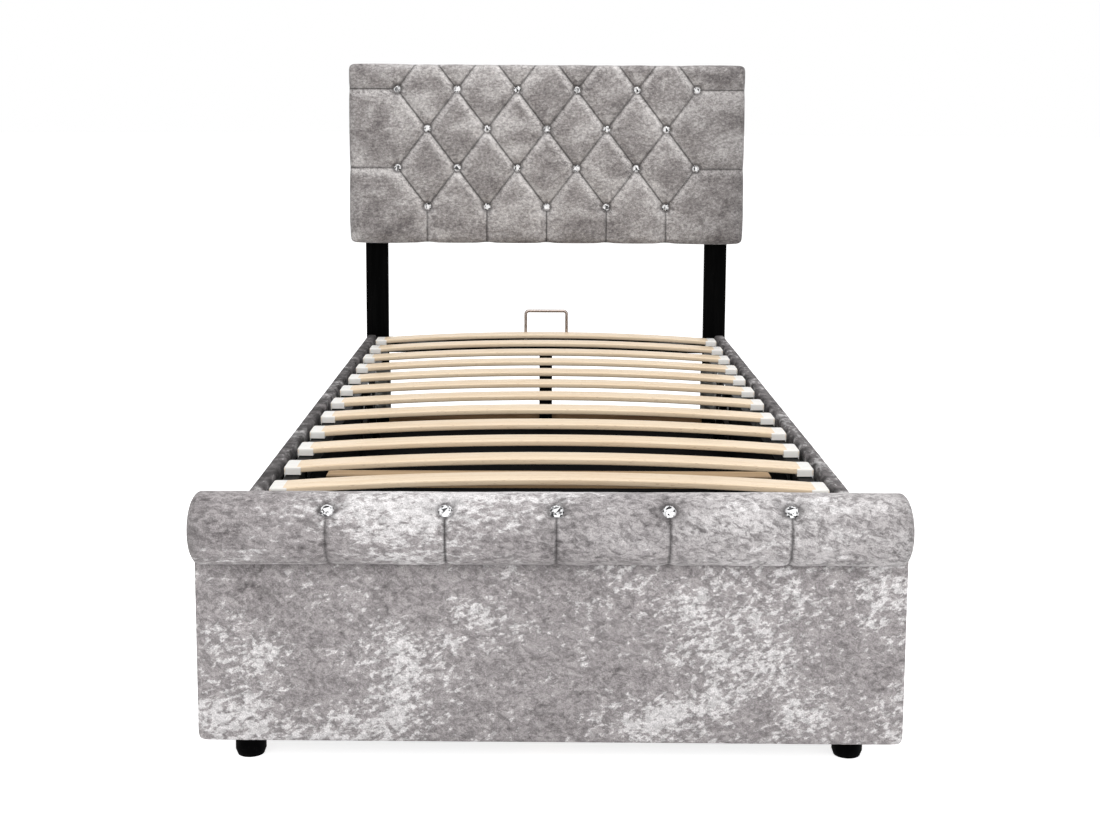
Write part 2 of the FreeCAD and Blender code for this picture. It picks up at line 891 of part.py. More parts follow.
def mattress_retainer():
    """The bent wire hoop, welded to the head tube, that keeps the mattress from sliding off."""
    y = frame_head_y - frame_tube_size / 2
    reach = (retainer_width - retainer_wire) / 2
    level = retainer_top - retainer_wire / 2
    radius = retainer_wire / 2
    pieces = [bar_x(radius, retainer_bend - reach, reach - retainer_bend, y, level)]
    for side in (-1, 1):
        pieces.append(bar_z(radius, frame_top, level - retainer_bend, side * reach, y))
        rings = []
        for step in range(retainer_bend_steps + 1):
            angle = math.pi / 2 * step / retainer_bend_steps
            along = Vector(-side * math.sin(angle), 0, math.cos(angle))
            centre = Vector(
                side * (reach - retainer_bend + retainer_bend * math.cos(angle)), y,
                level - retainer_bend + retainer_bend * math.sin(angle),
            )
            rings.append(Part.Wire(Part.makeCircle(radius, centre, along)))
        pieces.append(Part.makeLoft(rings, True, True))
    return pieces[0].fuse(pieces[1:]).removeSplitter()


def slat_arc(grow):
    """One bowed slat about the middle of its width at y = 0, grown by a clearance."""
    half = slat_length / 2 + grow
    bend = (slat_length ** 2 / 4 + slat_bow ** 2) / (2 * slat_bow)
    half_turn = math.degrees(math.asin(half / bend))
    underside = frame_top + cap_floor + slat_bow
    axis = Vector(0, 0, underside - bend)
    low = underside - grow
    high = underside + slat_thickness + grow
    side = slat_width / 2 + grow
    corners = [Vector(0, y, z) for y, z in ((-side, low), (side, low), (side, high), (-side, high))]
    face = Part.Face(Part.makePolygon(corners + corners[:1]))
    face.rotate(axis, Vector(0, 1, 0), -half_turn)
    return face.revolve(axis, Vector(0, 1, 0), 2 * half_turn)


def slat_centres():
    """The places of the slats along the bed, from the head end to the foot end."""
    return [last_slat_y + slat_pitch * (slat_count - 1 - index) for index in range(slat_count)]


def slat_cap():
    """A right-hand slat cap at y = 0: a bevelled holder with a lip outside the side tube."""
    outer = frame_outer_x + cap_overhang
    inner = outer - cap_length
    lip_start = frame_outer_x + slat_clearance
    lip_end = frame_top - cap_lip_drop
    half = cap_width / 2
    top = frame_top + cap_height
    cap = plate_xz([
        (inner, frame_top), (lip_start, frame_top), (lip_start, lip_end), (outer, lip_end),
        (outer, top), (inner, top),
    ], -half, half)
    cap = bevelled(cap, cap_end_bevel, Vector(0, 0, 1), lambda p: p.x > outer - pin_clearance)
    crown = [
        edge for edge in cap.Edges
        if edge.BoundBox.ZMin > top - pin_clearance and edge.BoundBox.XMax > inner + pin_clearance
    ]
    cap = cap.makeChamfer(cap_top_bevel, crown)
    return cap.cut(slat_arc(slat_clearance))


def cross_brace():
    """The straight timber brace under the slats near the foot end."""
    centre = face_y + brace_from_face
    half = frame_inner_x - brace_end_gap
    top = frame_top - brace_drop
    return box(
        -half, half, centre - brace_width / 2, centre + brace_width / 2, top - brace_thickness, top,
    )


def brace_brackets():
    """Folded brackets that carry the brace's ends from the side tubes."""
    centre = face_y + brace_from_face
    half = brace_bracket_width / 2
    brace_bottom = frame_top - brace_drop - brace_thickness
    start = frame_inner_x - brace_end_gap - brace_bracket_tongue
    tongue = box(
        start, frame_inner_x, centre - half, centre + half,
        brace_bottom - brace_bracket_thickness, brace_bottom,
    )
    upright = box(
        frame_inner_x - brace_bracket_thickness, frame_inner_x, centre - half, centre + half,
        brace_bottom - brace_bracket_thickness, frame_top,
    )
    bracket = tongue.fuse(upright).removeSplitter()
    return [bracket, mirrored(bracket)]


# Lifting hinge and gas struts

def stud_nut(y, z):
    """The nut that keeps a strut's eye on its stud."""
    return prism(
        Vector(eye_inner_x - strut_side_gap, y, z), Vector(-1, 0, 0), stud_nut_radius, stud_nut_thickness,
    )


def hinge_plate():
    """The right-hand plate on the rail, with the pivot's boss and the strut's lower stud."""
    half_top = hinge_plate_width / 2
    half_foot = hinge_plate_foot_width / 2
    bottom = lower_stud_z - hinge_plate_margin
    outline = [
        (pivot_y - half_top, hinge_plate_top), (pivot_y + half_top, hinge_plate_top),
        (pivot_y + half_top, pivot_height - hinge_plate_margin),
        (lower_stud_y + half_foot, bottom), (lower_stud_y - half_foot, bottom),
        (lower_stud_y - half_foot, lower_stud_z + hinge_plate_margin),
    ]
    plate = plate_yz(outline, plate_inner_x, rail_inner_x)
    plate = bevelled(plate, hinge_plate_corner, Vector(1, 0, 0))
    window_y = (pivot_y + lower_stud_y) / 2
    window_z = (pivot_height + lower_stud_z) / 2
    window = bevelled(box(
        plate_inner_x - overrun, rail_inner_x + overrun, window_y - hinge_window_width / 2,
        window_y + hinge_window_width / 2, window_z - hinge_window_length / 2,
        window_z + hinge_window_length / 2,
    ), hinge_window_corner, Vector(1, 0, 0))
    lean = math.degrees(math.atan2(lower_stud_forward, lower_stud_drop))
    window.rotate(Vector(0, window_y, window_z), Vector(1, 0, 0), -lean)
    plate = plate.cut(window)
    inward = Vector(-1, 0, 0)
    boss = prism(
        Vector(plate_inner_x, pivot_y, pivot_height), inward, pivot_boss_radius,
        plate_inner_x - arm_outer_x - seat_gap,
    )
    collar = prism(
        Vector(plate_inner_x, lower_stud_y, lower_stud_z), inward, stud_collar_radius,
        plate_inner_x - eye_outer_x - strut_side_gap,
    )
    stud = bar_x(
        stud_radius, eye_inner_x - strut_side_gap, plate_inner_x, lower_stud_y, lower_stud_z,
    )
    nut = stud_nut(lower_stud_y, lower_stud_z)
    heads = []
    for y, z in (
        (pivot_y - half_top + screw_inset, hinge_plate_top - screw_inset),
        (pivot_y + half_top - screw_inset, hinge_plate_top - screw_inset),
        (pivot_y + half_top - screw_inset, pivot_height - hinge_plate_margin + screw_inset),
        (lower_stud_y - half_foot + screw_inset, bottom + screw_inset),
        (lower_stud_y + half_foot - screw_inset, bottom + screw_inset),
    ):
        heads.append(prism(
            Vector(plate_inner_x, y, z), inward, screw_head_radius, screw_head_height,
        ))
    plate = plate.fuse([boss, collar, stud, nut] + heads).removeSplitter()
    return plate.cut(bar_x(
        pivot_pin_radius + pin_clearance, arm_outer_x - overrun, rail_inner_x + overrun,
        pivot_y, pivot_height,
    ))


def pivot_pins():
    """The headed pins that the lifting arms turn on."""
    head_end = frame_outer_x - seat_gap
    shank = bar_x(pivot_pin_radius, head_end, rail_inner_x, pivot_y, pivot_height)
    head = prism(
        Vector(head_end, pivot_y, pivot_height), Vector(-1, 0, 0), pivot_head_radius, pivot_head_thickness,
    )
    pin = shank.fuse(head).removeSplitter()
    return [pin, mirrored(pin)]


def lift_arm():
    """The right-hand arm plate: a web on the side tube, an ear at the pivot, an ear at the stud."""
    x0, x1 = frame_outer_x, arm_outer_x
    web_bottom = frame_bottom - arm_web
    foot_end = upper_stud_y - arm_tail
    head_end = pivot_y + arm_tail
    parts = [box(x0, x1, foot_end, head_end, web_bottom, arm_top)]
    for y, z, radius in (
        (pivot_y, pivot_height, arm_pivot_radius), (upper_stud_y, upper_stud_z, arm_stud_radius),
    ):
        parts.append(prism(Vector(x0, y, z), Vector(1, 0, 0), radius, arm_thickness, octagon_sides))
        parts.append(plate_yz(
            [
                (y - arm_ear_spread, web_bottom + weld_bite), (y + arm_ear_spread, web_bottom + weld_bite),
                (y + radius, z), (y, z - radius), (y - radius, z),
            ],
            x0, x1,
        ))
    parts.append(prism(
        Vector(x0, upper_stud_y, upper_stud_z), Vector(-1, 0, 0), stud_collar_radius,
        x0 - eye_outer_x - strut_side_gap,
    ))
    parts.append(bar_x(stud_radius, eye_inner_x - strut_side_gap, x0, upper_stud_y, upper_stud_z))
    parts.append(stud_nut(upper_stud_y, upper_stud_z))
    arm = parts[0].fuse(parts[1:]).removeSplitter()
    return arm.cut(bar_x(
        pivot_pin_radius + pin_clearance, x0 - overrun, x1 + overrun, pivot_y, pivot_height,
    ))


def strut_frame():
    """The closed strut's length, angle and unit direction, from its lower stud to its rod end."""
    forward = lower_stud_y - upper_stud_y
    rise = upper_stud_z - lower_stud_z
    angle = math.atan2(rise, forward) + math.radians(strut_angle_lead)
    return strut_closed_length, angle, Vector(0, -math.cos(angle), math.sin(angle))


def along_strut(radius, start, end):
    """A round bar on the strut's axis between two distances from its lower stud."""
    _, _, direction = strut_frame()
    origin = Vector(strut_axis_x, lower_stud_y, lower_stud_z) + direction * start
    return Part.makeCylinder(radius, end - start, origin, direction)


def strut_eye(y, z):
    """The flat-sided block at a strut's end, before its hole."""
    return prism(
        Vector(eye_inner_x, y, z), Vector(1, 0, 0), strut_eye_radius, strut_eye_width, octagon_sides,
    )


def eye_hole(radius, y, z):
    """The hole through a strut's end."""
    return bar_x(radius, eye_inner_x - overrun, eye_outer_x + overrun, y, z)


def strut_cylinder():
    """The right-hand gas cylinder: an end block, a neck, and a body bored for the rod."""
    start = strut_eye_radius + strut_neck_length
    end = start + strut_cylinder_length
    neck = along_strut(strut_neck_radius, strut_eye_radius / 2, start)
    tube = along_strut(strut_cylinder_radius, start, end)
    body = strut_eye(lower_stud_y, lower_stud_z).fuse([neck, tube])
    body = body.cut(along_strut(strut_rod_radius + pin_clearance, start + strut_bore_margin, end + overrun))
    return body.cut(eye_hole(stud_radius + pin_clearance, lower_stud_y, lower_stud_z))


def strut_rod():
    """The right-hand rod with its end block, whose hole leaves room for the stud."""
    length, _, direction = strut_frame()
    hole_radius = stud_radius + strut_open_clearance
    centre = Vector(0, lower_stud_y, lower_stud_z) + direction * length
    rod = along_strut(
        strut_rod_radius, strut_eye_radius + strut_neck_length + strut_rod_foot_gap,
        length - strut_eye_radius / 2,
    )
    return strut_eye(centre.y, centre.z).fuse(rod).cut(eye_hole(hole_radius, centre.y, centre.z))


def main():
    """Make and write every sub-part."""
    save("headboard_board", headboard_board())
    save("headboard_cover", headboard_cover())
    save("headboard_back_cloth", headboard_back_cloth())
    save("headboard_buttons", headboard_buttons())
    save_pair("headboard_leg", headboard_leg())
    save("footboard_board", footboard_board())
    save("footboard_roll_core", footboard_roll_core())
    save("footboard_roll_cover", footboard_roll_cover())
    save("footboard_panel_cover", footboard_panel_cover())
    save("footboard_buttons", footboard_buttons())
    save_pair("side_rail", side_rail())
    save_pair("rail_cover", rail_cover())
    save("corner_brackets", corner_brackets())
    save("leg_bolts", leg_bolts())
    save_pair("ledger", ledger())
    foot_panel, head_panel = floor_panels()
    save("floor_panel_foot", foot_panel)
    save("floor_panel_head", head_panel)
    save("floor_bearer", floor_bearer())
    save("bearer_feet", bearer_feet())
    save("feet", [foot(), mirrored(foot())])
    save("head_cross_tube", head_cross_tube())
    save("centre_leg", centre_leg())
    save("low_head_rail", low_head_rail())
    stop = frame_stop()
    save("frame_stops", [stop, mirrored(stop)])
    save_pair("lift_side_tube", frame_side_tube())
    save("lift_foot_tube", frame_cross_tube(frame_foot_y))
    save("lift_head_tube", lift_head_tube())
    save("mattress_retainer", mattress_retainer())
    slat = slat_arc(0)
    cap = slat_cap()
    caps = []
    for index, y in enumerate(slat_centres()):
        save("slat_%02d" % (index + 1), slat.translated(Vector(0, y, 0)))
        caps.append(cap.translated(Vector(0, y, 0)))
    save("slat_caps_right", caps)
    save("slat_caps_left", [mirrored(each) for each in caps])
    save("cross_brace", cross_brace())
    save("brace_brackets", brace_brackets())
    save_pair("hinge_plate", hinge_plate())
    save("pivot_pins", pivot_pins())
    save_pair("lift_arm", lift_arm())
    save_pair("strut_cylinder", strut_cylinder())
    save_pair("strut_rod", strut_rod())
    length, angle, _ = strut_frame()
    print("strut closed length", round(length, 2), "angle", round(math.degrees(angle), 3))
    print("pivot", pivot_y, pivot_height, "lower stud", lower_stud_y, lower_stud_z, "face", face_y)
    print("overall length", overall_length)


main()
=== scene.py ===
"""Dresses the packed storage bed: crushed velvet, beech slats, crystals, painted steel and a studio.

Lengths are in metres, in the frame of the packed model: the floor is z = 0, the foot end looks
towards -Y and the headboard stands at the +Y end.
"""
import logging
import math
from dataclasses import dataclass
from enum import Enum
from typing import Iterable, Sequence

import bmesh
import bpy
import numpy as np
from mathutils import Matrix, Vector, noise


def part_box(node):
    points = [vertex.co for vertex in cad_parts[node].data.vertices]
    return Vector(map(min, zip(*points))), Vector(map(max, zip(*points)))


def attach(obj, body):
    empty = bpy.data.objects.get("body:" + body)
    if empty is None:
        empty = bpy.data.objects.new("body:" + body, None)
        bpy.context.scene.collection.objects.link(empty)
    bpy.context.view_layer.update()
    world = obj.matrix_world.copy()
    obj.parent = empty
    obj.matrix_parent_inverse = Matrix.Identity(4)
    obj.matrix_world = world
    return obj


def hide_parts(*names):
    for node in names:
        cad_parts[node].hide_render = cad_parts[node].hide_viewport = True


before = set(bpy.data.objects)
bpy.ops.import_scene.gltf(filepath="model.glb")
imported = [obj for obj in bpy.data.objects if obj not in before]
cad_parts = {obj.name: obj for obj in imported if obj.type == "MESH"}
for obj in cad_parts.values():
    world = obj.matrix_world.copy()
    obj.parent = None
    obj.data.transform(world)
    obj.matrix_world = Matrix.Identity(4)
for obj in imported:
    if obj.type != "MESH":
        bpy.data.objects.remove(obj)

log = logging.getLogger("storage_bed")
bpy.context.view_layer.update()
MM = 0.001
Form = bmesh.types.BMesh
Material = bpy.types.Material
Socket = bpy.types.NodeSocket
Point = tuple[float, float]
Triple = tuple[float, float, float]
Ripple = tuple[Triple, float, float]


class Body(Enum):
    """The moving bodies of the packed model that carry new pieces."""

    BASE = "base"
    FRAME = "lift_frame"


class Side(Enum):
    """A side of the bed, seen from the foot end."""

    RIGHT = 1
    LEFT = -1

    @property
    def word(self) -> str:
        """Give the ending that the packed nodes use.

        Returns:
            The side's name in small letters.
        """
        return self.name.lower()


class Graph:
    """The nodes of one material or world, with a call for each kind that the finishes share."""

    def __init__(self, name: str, world: bool = False) -> None:
        """Make a material with a Principled shader, or a world with a background.

        Args:
            name: Its name.
            world: Whether it is a world.
        """
        self.owner = (bpy.data.worlds if world else bpy.data.materials).new(name)
        self.owner.use_nodes = True
        self.tree = self.owner.node_tree
        self.tree.nodes.clear()
        self.shader = self.add("ShaderNodeBackground" if world else "ShaderNodeBsdfPrincipled", {})
        kind = "ShaderNodeOutputWorld" if world else "ShaderNodeOutputMaterial"
        self.surface = self.add(kind, {0: self.shader.outputs[0]}).inputs[0]

    def feed(self, socket: Socket, value: object) -> None:
        """Link a socket to another, or set its value.

        Args:
            socket: The input to fill.
            value: An output socket, a number, or a colour or vector as a tuple.
        """
        if isinstance(value, Socket):
            self.tree.links.new(value, socket)
        elif socket.type == "RGBA" and len(value) == 3:
            socket.default_value = (*value, 1.0)
        else:
            socket.default_value = value

    def add(self, kind: str, inputs: dict, **settings: object) -> bpy.types.Node:
        """Add a node.

        Args:
            kind: The node's class name.
            inputs: What goes into its sockets, by name or number.
            **settings: Its own properties.

        Returns:
            The new node.
        """
        node = self.tree.nodes.new(kind)
        for key, value in settings.items():
            setattr(node, key, value)
        for key, value in inputs.items():
            self.feed(node.inputs[key], value)
        return node

    def place(self, stretch: Triple = (1, 1, 1), offset: Triple = (0, 0, 0), slant: float = 0.0) -> Socket:
        """Give the object's own coordinates, in metres.

        Args:
            stretch: What each axis is multiplied by; a small number draws a pattern out.
            offset: What is added, so that two patterns differ.
            slant: How far the pattern is turned about Y, in radians.

        Returns:
            The vector output.
        """
        source = self.add("ShaderNodeTexCoord", {}).outputs["Object"]
        turned = self.add("ShaderNodeMapping", {"Vector": source, "Rotation": (0.0, slant, 0.0)}).outputs[0]
        return self.add("ShaderNodeMapping", {"Vector": turned, "Scale": stretch, "Location": offset}).outputs[0]

    def attribute(self, name: str) -> Socket:
        """Read a number that the mesh carries.

        Args:
            name: The attribute's name.

        Returns:
            The number output.
        """
        return self.add("ShaderNodeAttribute", {}, attribute_name=name).outputs["Fac"]

    def grain(self, at: Socket, size: float, detail: float = 3.0, rough: float = 0.55, twist: float = 0.0) -> Socket:
        """Add a noise pattern.

        Args:
            at: The coordinates.
            size: The size of its features in metres.
            detail: How many finer layers it has.
            rough: How strong the finer layers are.
            twist: How much it is distorted.

        Returns:
            The number output, about 0.5 on average.
        """
        return self.add("ShaderNodeTexNoise", {
            "Vector": at, "Scale": 1.0 / size, "Detail": detail, "Roughness": rough, "Distortion": twist,
        }).outputs[0]

    def vectors(self, operation: str, inputs: dict) -> Socket:
        """Work out a vector.

        Args:
            operation: The node's operation.
            inputs: What goes into its sockets.

        Returns:
            The vector output.
        """
        return self.add("ShaderNodeVectorMath", inputs, operation=operation).outputs[0]

    def warp(self, at: Socket, size: float, reach: float) -> Socket:
        """Push coordinates about with noise, for ragged edges.

        Args:
            at: The coordinates.
            size: The size of the noise in metres.
            reach: How far a place moves, in metres.

        Returns:
            The moved coordinates.
        """
        cloud = self.add("ShaderNodeTexNoise", {"Vector": at, "Scale": 1.0 / size, "Detail": 3.0})
        middle = self.vectors("SUBTRACT", {0: cloud.outputs[1], 1: (0.5, 0.5, 0.5)})
        return self.vectors("ADD", {0: at, 1: self.vectors("SCALE", {0: middle, "Scale": reach})})

    def span(self, value: Socket, low: float, high: float, start: float = 0.0, end: float = 1.0) -> Socket:
        """Spread one range of a value smoothly over another.

        Args:
            value: The number to spread.
            low: Where the range starts.
            high: Where it ends.
            start: What it starts at afterwards.
            end: What it ends at afterwards.

        Returns:
            The number output.
        """
        return self.add("ShaderNodeMapRange", {
            "Value": value, "From Min": low, "From Max": high, "To Min": start, "To Max": end,
        }, interpolation_type="SMOOTHSTEP").outputs[0]

    def maths(self, operation: str, first: object, second: object, clamp: bool = False) -> Socket:
        """Work out a number.

        Args:
            operation: The node's operation.
            first: A socket or number.
            second: A socket or number.
            clamp: Whether the result stays between 0 and 1.

        Returns:
            The number output.
        """
        return self.add("ShaderNodeMath", {0: first, 1: second}, operation=operation, use_clamp=clamp).outputs[0]

    def times(self, first: object, second: object) -> Socket:
        """Multiply two numbers.

        Args:
            first: A socket or number.
            second: A socket or number.

        Returns:
            The number output.
        """
        return self.maths("MULTIPLY", first, second)

    def blend(self, share: object, first: object, second: object, mode: str = "MIX") -> Socket:
        """Mix two colours.

        Args:
            share: How much of the second one shows.
            first: A colour or socket.
            second: A colour or socket.
            mode: The kind of mix.

        Returns:
            The colour output.
        """
        mix = self.add("ShaderNodeMix", {0: share, 6: first, 7: second}, data_type="RGBA", blend_type=mode)
        return mix.outputs[2]

    def bump(self, height: Socket, depth: float, strength: float = 1.0) -> None:
        """Give the shader a relief.

        Args:
            height: The relief, from 0 to 1.
            depth: Its depth in metres.
            strength: How much of it shows.
        """
        relief = self.add("ShaderNodeBump", {"Height": height, "Distance": depth, "Strength": strength})
        self.feed(self.shader.inputs["Normal"], relief.outputs[0])

    def seen(self) -> Socket:
        """Tell what the camera sees, straight or through a shine, from the light that falls on things.

        Returns:
            The number output: 1 where it is seen.
        """
        rays = self.add("ShaderNodeLightPath", {}).outputs
        direct = self.maths("MAXIMUM", rays["Is Camera Ray"], rays["Is Glossy Ray"])
        return self.maths("MAXIMUM", direct, rays["Is Transmission Ray"])

    def shade(self, **inputs: object) -> Material:
        """Fill the shader's sockets; an underscore in a name stands for a space.

        Args:
            **inputs: What goes into each socket.

        Returns:
            The finished material or world.
        """
        for key, value in inputs.items():
            self.feed(self.shader.inputs[key.replace("_", " ")], value)
        return self.owner


@dataclass(frozen=True)
class Velvet:
    """Crushed velvet: torn silver flecks that crowd into patches, darker nap between them, and a fine pile."""

    name: str
    shade: Triple = (0.325, 0.302, 0.304)
    silver: Triple = (0.69, 0.668, 0.67)
    deep: Triple = (0.13, 0.117, 0.119)
    # Painted shade: the dark colour that the pleat attribute mixes in.
    crease_shade: Triple = (0.018, 0.016, 0.016)
    stretch: Triple = (0.85, 1.0, 1.3)
    seed: Triple = (4.3, 1.2, 7.7)
    slant: float = 0.25
    patch_size: float = 0.20
    patch_weight: float = 1.45
    middle_weight: float = 0.7
    fleck_size: float = 0.011
    fleck_weight: float = 1.4
    painted_relief_weight: float = 0.35
    silver_start: float = 0.08
    silver_end: float = 0.30
    dark_start: float = -0.05
    dark_end: float = -0.55
    nap_size: float = 0.009
    nap_low: float = 0.70
    nap_high: float = 1.26
    mark_size: float = 0.011
    mark_share: float = 0.5
    pile_size: float = 0.0018
    sheen: float = 0.18

    def flecks(self, graph: Graph) -> Socket:
        """Add up clouds from the size of a patch down to that of a fleck, each fleck with a painted lit side and a
        painted dark side.

        Args:
            graph: The material's nodes.

        Returns:
            The sum, about 0 on average.
        """
        fleck = self.fleck_size
        plain = graph.place(self.stretch, self.seed, self.slant)
        torn = graph.warp(plain, fleck * 1.5, fleck * 0.8)
        # Painted light and shade: a shifted copy of the flecks is taken away, so each fleck gets a lit and a dark side
        # in its colour.
        beside = graph.vectors("ADD", {0: torn, 1: (-fleck * 0.3, 0.0, fleck * 0.3)})
        clouds = (
            (graph.grain(plain, self.patch_size, 3.0, 0.55, 0.6), self.patch_weight),
            (graph.grain(torn, fleck * 5.0, 4.0, 0.6, 0.4), self.middle_weight),
            (graph.grain(torn, fleck, 5.0, 0.65), self.fleck_weight + self.painted_relief_weight),
            (graph.grain(beside, fleck, 5.0, 0.65), -self.painted_relief_weight),
        )
        total = -(self.patch_weight + self.middle_weight + self.fleck_weight) / 2
        for cloud, weight in clouds:
            total = graph.maths("ADD", graph.times(cloud, weight), total)
        return total

    def make(self) -> Material:
        """Build the material.

        Returns:
            The velvet.
        """
        graph = Graph(self.name)
        total = self.flecks(graph)
        bright = graph.span(total, self.silver_start, self.silver_end)
        dark = graph.span(total, self.dark_start, self.dark_end)
        pile = graph.grain(graph.place(), self.pile_size, 3.0, 0.7)
        nap = graph.grain(graph.place((0.7, 1.0, 1.2), self.seed, -0.4), self.nap_size, 4.0, 0.65, 0.8)
        marks = graph.grain(graph.place((0.8, 1.0, 1.5), self.seed, 0.5), self.mark_size, 4.0, 0.65, 0.5)
        tone = graph.blend(dark, self.shade, self.deep)
        tone = graph.blend(1.0, tone, graph.span(nap, 0.34, 0.66, self.nap_low, self.nap_high), "MULTIPLY")
        tone = graph.blend(graph.span(marks, 0.59, 0.70, 0.0, self.mark_share), tone, self.deep)
        silver = graph.blend(1.0, self.silver, graph.span(nap, 0.34, 0.62, 0.72, 1.08), "MULTIPLY")
        tone = graph.blend(bright, tone, silver)
        # Painted highlight: silver is mixed in where the mesh's attribute marks painted light, beside pleats, round
        # buttons and towards the roll's right end.
        brushed = graph.times(graph.attribute("brushed"), graph.span(nap, 0.36, 0.56, 0.2, 0.9))
        tone = graph.blend(brushed, tone, silver)
        tone = graph.blend(1.0, tone, graph.span(pile, 0.3, 0.7, 0.74, 1.26), "MULTIPLY")
        # Painted shade: the pleat attribute darkens creases, button pockets, pucker rings, the roll's seam and ends,
        # the headboard's sides, the panel under the roll and the rails' inner sides and tops.
        tone = graph.blend(graph.times(graph.attribute("pleat"), 0.93), tone, self.crease_shade)
        graph.bump(graph.maths("ADD", graph.times(total, 0.8), graph.times(pile, 0.25)), 0.0015, 0.6)
        return graph.shade(
            Base_Color=tone, Roughness=graph.span(bright, 0, 1, 0.85, 0.55), Sheen_Weight=self.sheen,
            Sheen_Roughness=0.4, Sheen_Tint=(0.9, 0.88, 0.88), Specular_IOR_Level=0.25,
        )


@dataclass(frozen=True)
class Beech:
    """Clear lacquered beech ply: fine grain along the slat, short pores and faint layers on the edges."""

    name: str
    light: Triple = (0.79, 0.635, 0.455)
    dark: Triple = (0.61, 0.435, 0.265)
    pale: Triple = (0.93, 0.80, 0.60)
    pore: Triple = (0.34, 0.19, 0.09)
    layers: float = 44.0

    def make(self) -> Material:
        """Build the material.

        Returns:
            The beech.
        """
        graph = Graph(self.name)
        bands = graph.span(graph.grain(graph.place((0.06, 1, 1)), 0.011, 4.0, 0.6, 0.8), 0.42, 0.68)
        fine = graph.span(graph.grain(graph.place((0.04, 1, 1)), 0.0016, 3.0, 0.6), 0.35, 0.7)
        pores = graph.span(graph.grain(graph.place((0.10, 1, 1), (2, 3, 4)), 0.0011, 1.0), 0.66, 0.72)
        slat = graph.span(graph.grain(graph.place((0.3, 1, 0.2), (9, 1, 2)), 0.12, 1.0), 0.35, 0.65)
        ply = graph.span(graph.maths("SINE", graph.times(graph.attribute("layer"), self.layers), 0.0), 0.55, 1.0)
        tone = self.light
        for mask, share, colour in (
            (bands, 0.42, self.dark), (fine, 0.18, self.dark), (slat, 0.16, self.pale), (pores, 0.5, self.pore),
            (ply, 0.2, self.dark),
        ):
            tone = graph.blend(graph.times(mask, share), tone, colour)
        graph.bump(graph.maths("SUBTRACT", graph.times(fine, 0.5), pores), 0.00025, 0.5)
        return graph.shade(
            Base_Color=tone, Roughness=graph.span(bands, 0, 1, 0.36, 0.5), Specular_IOR_Level=0.4,
            Coat_Weight=0.12, Coat_Roughness=0.25,
        )


@dataclass(frozen=True)
class Timber:
    """Sawn, pressed or painted wood, with its grain along one axis."""

    name: str
    light: Triple
    dark: Triple
    along: Triple = (0.05, 1.0, 1.0)
    band: float = 0.014
    speckle: float = 0.0
    roughness: float = 0.62
    relief: float = 0.0005
    gloss: float = 0.35

    def make(self) -> Material:
        """Build the material.

        Returns:
            The wood.
        """
        graph = Graph(self.name)
        bands = graph.span(graph.grain(graph.place(self.along), self.band, 5.0, 0.62, 1.2), 0.36, 0.68)
        fine = graph.grain(graph.place(self.along, (4, 2, 1)), self.band / 9, 3.0, 0.65)
        chips = graph.span(graph.grain(graph.place(offset=(1, 6, 2)), 0.007, 4.0, 0.7, 1.5), 0.50, 0.62)
        share = graph.times(bands, 1.0 - self.speckle)
        share = graph.maths("ADD", share, graph.times(chips, self.speckle), clamp=True)
        tone = graph.blend(share, self.light, self.dark)
        tone = graph.blend(graph.span(fine, 0.55, 0.75, 0.0, 0.3), tone, self.dark)
        graph.bump(graph.maths("ADD", fine, graph.times(share, 0.5)), self.relief, 0.5)
        rough = graph.span(fine, 0.3, 0.7, self.roughness - 0.08, self.roughness + 0.1)
        return graph.shade(Base_Color=tone, Roughness=rough, Specular_IOR_Level=self.gloss)


@dataclass(frozen=True)
class Painted:
    """Powder coat or paint: a slight orange peel, dust and rubbed spots."""

    name: str
    colour: Triple
    roughness: float = 0.42

    def make(self) -> Material:
        """Build the material.

        Returns:
            The paint.
        """
        graph = Graph(self.name)
        dust = graph.span(graph.grain(graph.place(offset=(5, 1, 3)), 0.035, 5.0, 0.7), 0.48, 0.75)
        lighter = tuple(channel * 1.9 + 0.003 for channel in self.colour)
        tone = graph.blend(graph.times(dust, 0.35), self.colour, lighter)
        graph.bump(graph.grain(graph.place(), 0.0016, 2.0, 0.5), 0.0002, 0.35)
        rough = graph.maths("ADD", graph.times(dust, 0.16), self.roughness, clamp=True)
        return graph.shade(Base_Color=tone, Roughness=rough, Specular_IOR_Level=0.04)


@dataclass(frozen=True)
class Metal:
    """Plated steel: chrome, zinc or a polished rod, with fine drawn lines."""

    name: str
    colour: Triple
    roughness: float
    spangle: float = 0.0
    along: Triple = (1.0, 0.06, 1.0)

    def make(self) -> Material:
        """Build the material.

        Returns:
            The metal.
        """
        graph = Graph(self.name)
        cloud = graph.span(graph.grain(graph.place(), 0.012, 3.0, 0.6), 0.35, 0.7)
        darker = tuple(channel * 0.72 for channel in self.colour)
        tone = graph.blend(graph.times(cloud, 0.25 + self.spangle), self.colour, darker)
        graph.bump(graph.grain(graph.place(self.along), 0.0006, 3.0, 0.6), 0.00006, 0.5)
        rough = graph.span(cloud, 0, 1, self.roughness, self.roughness + 0.12 + self.spangle * 0.3)
        return graph.shade(Base_Color=tone, Metallic=1.0, Roughness=rough)


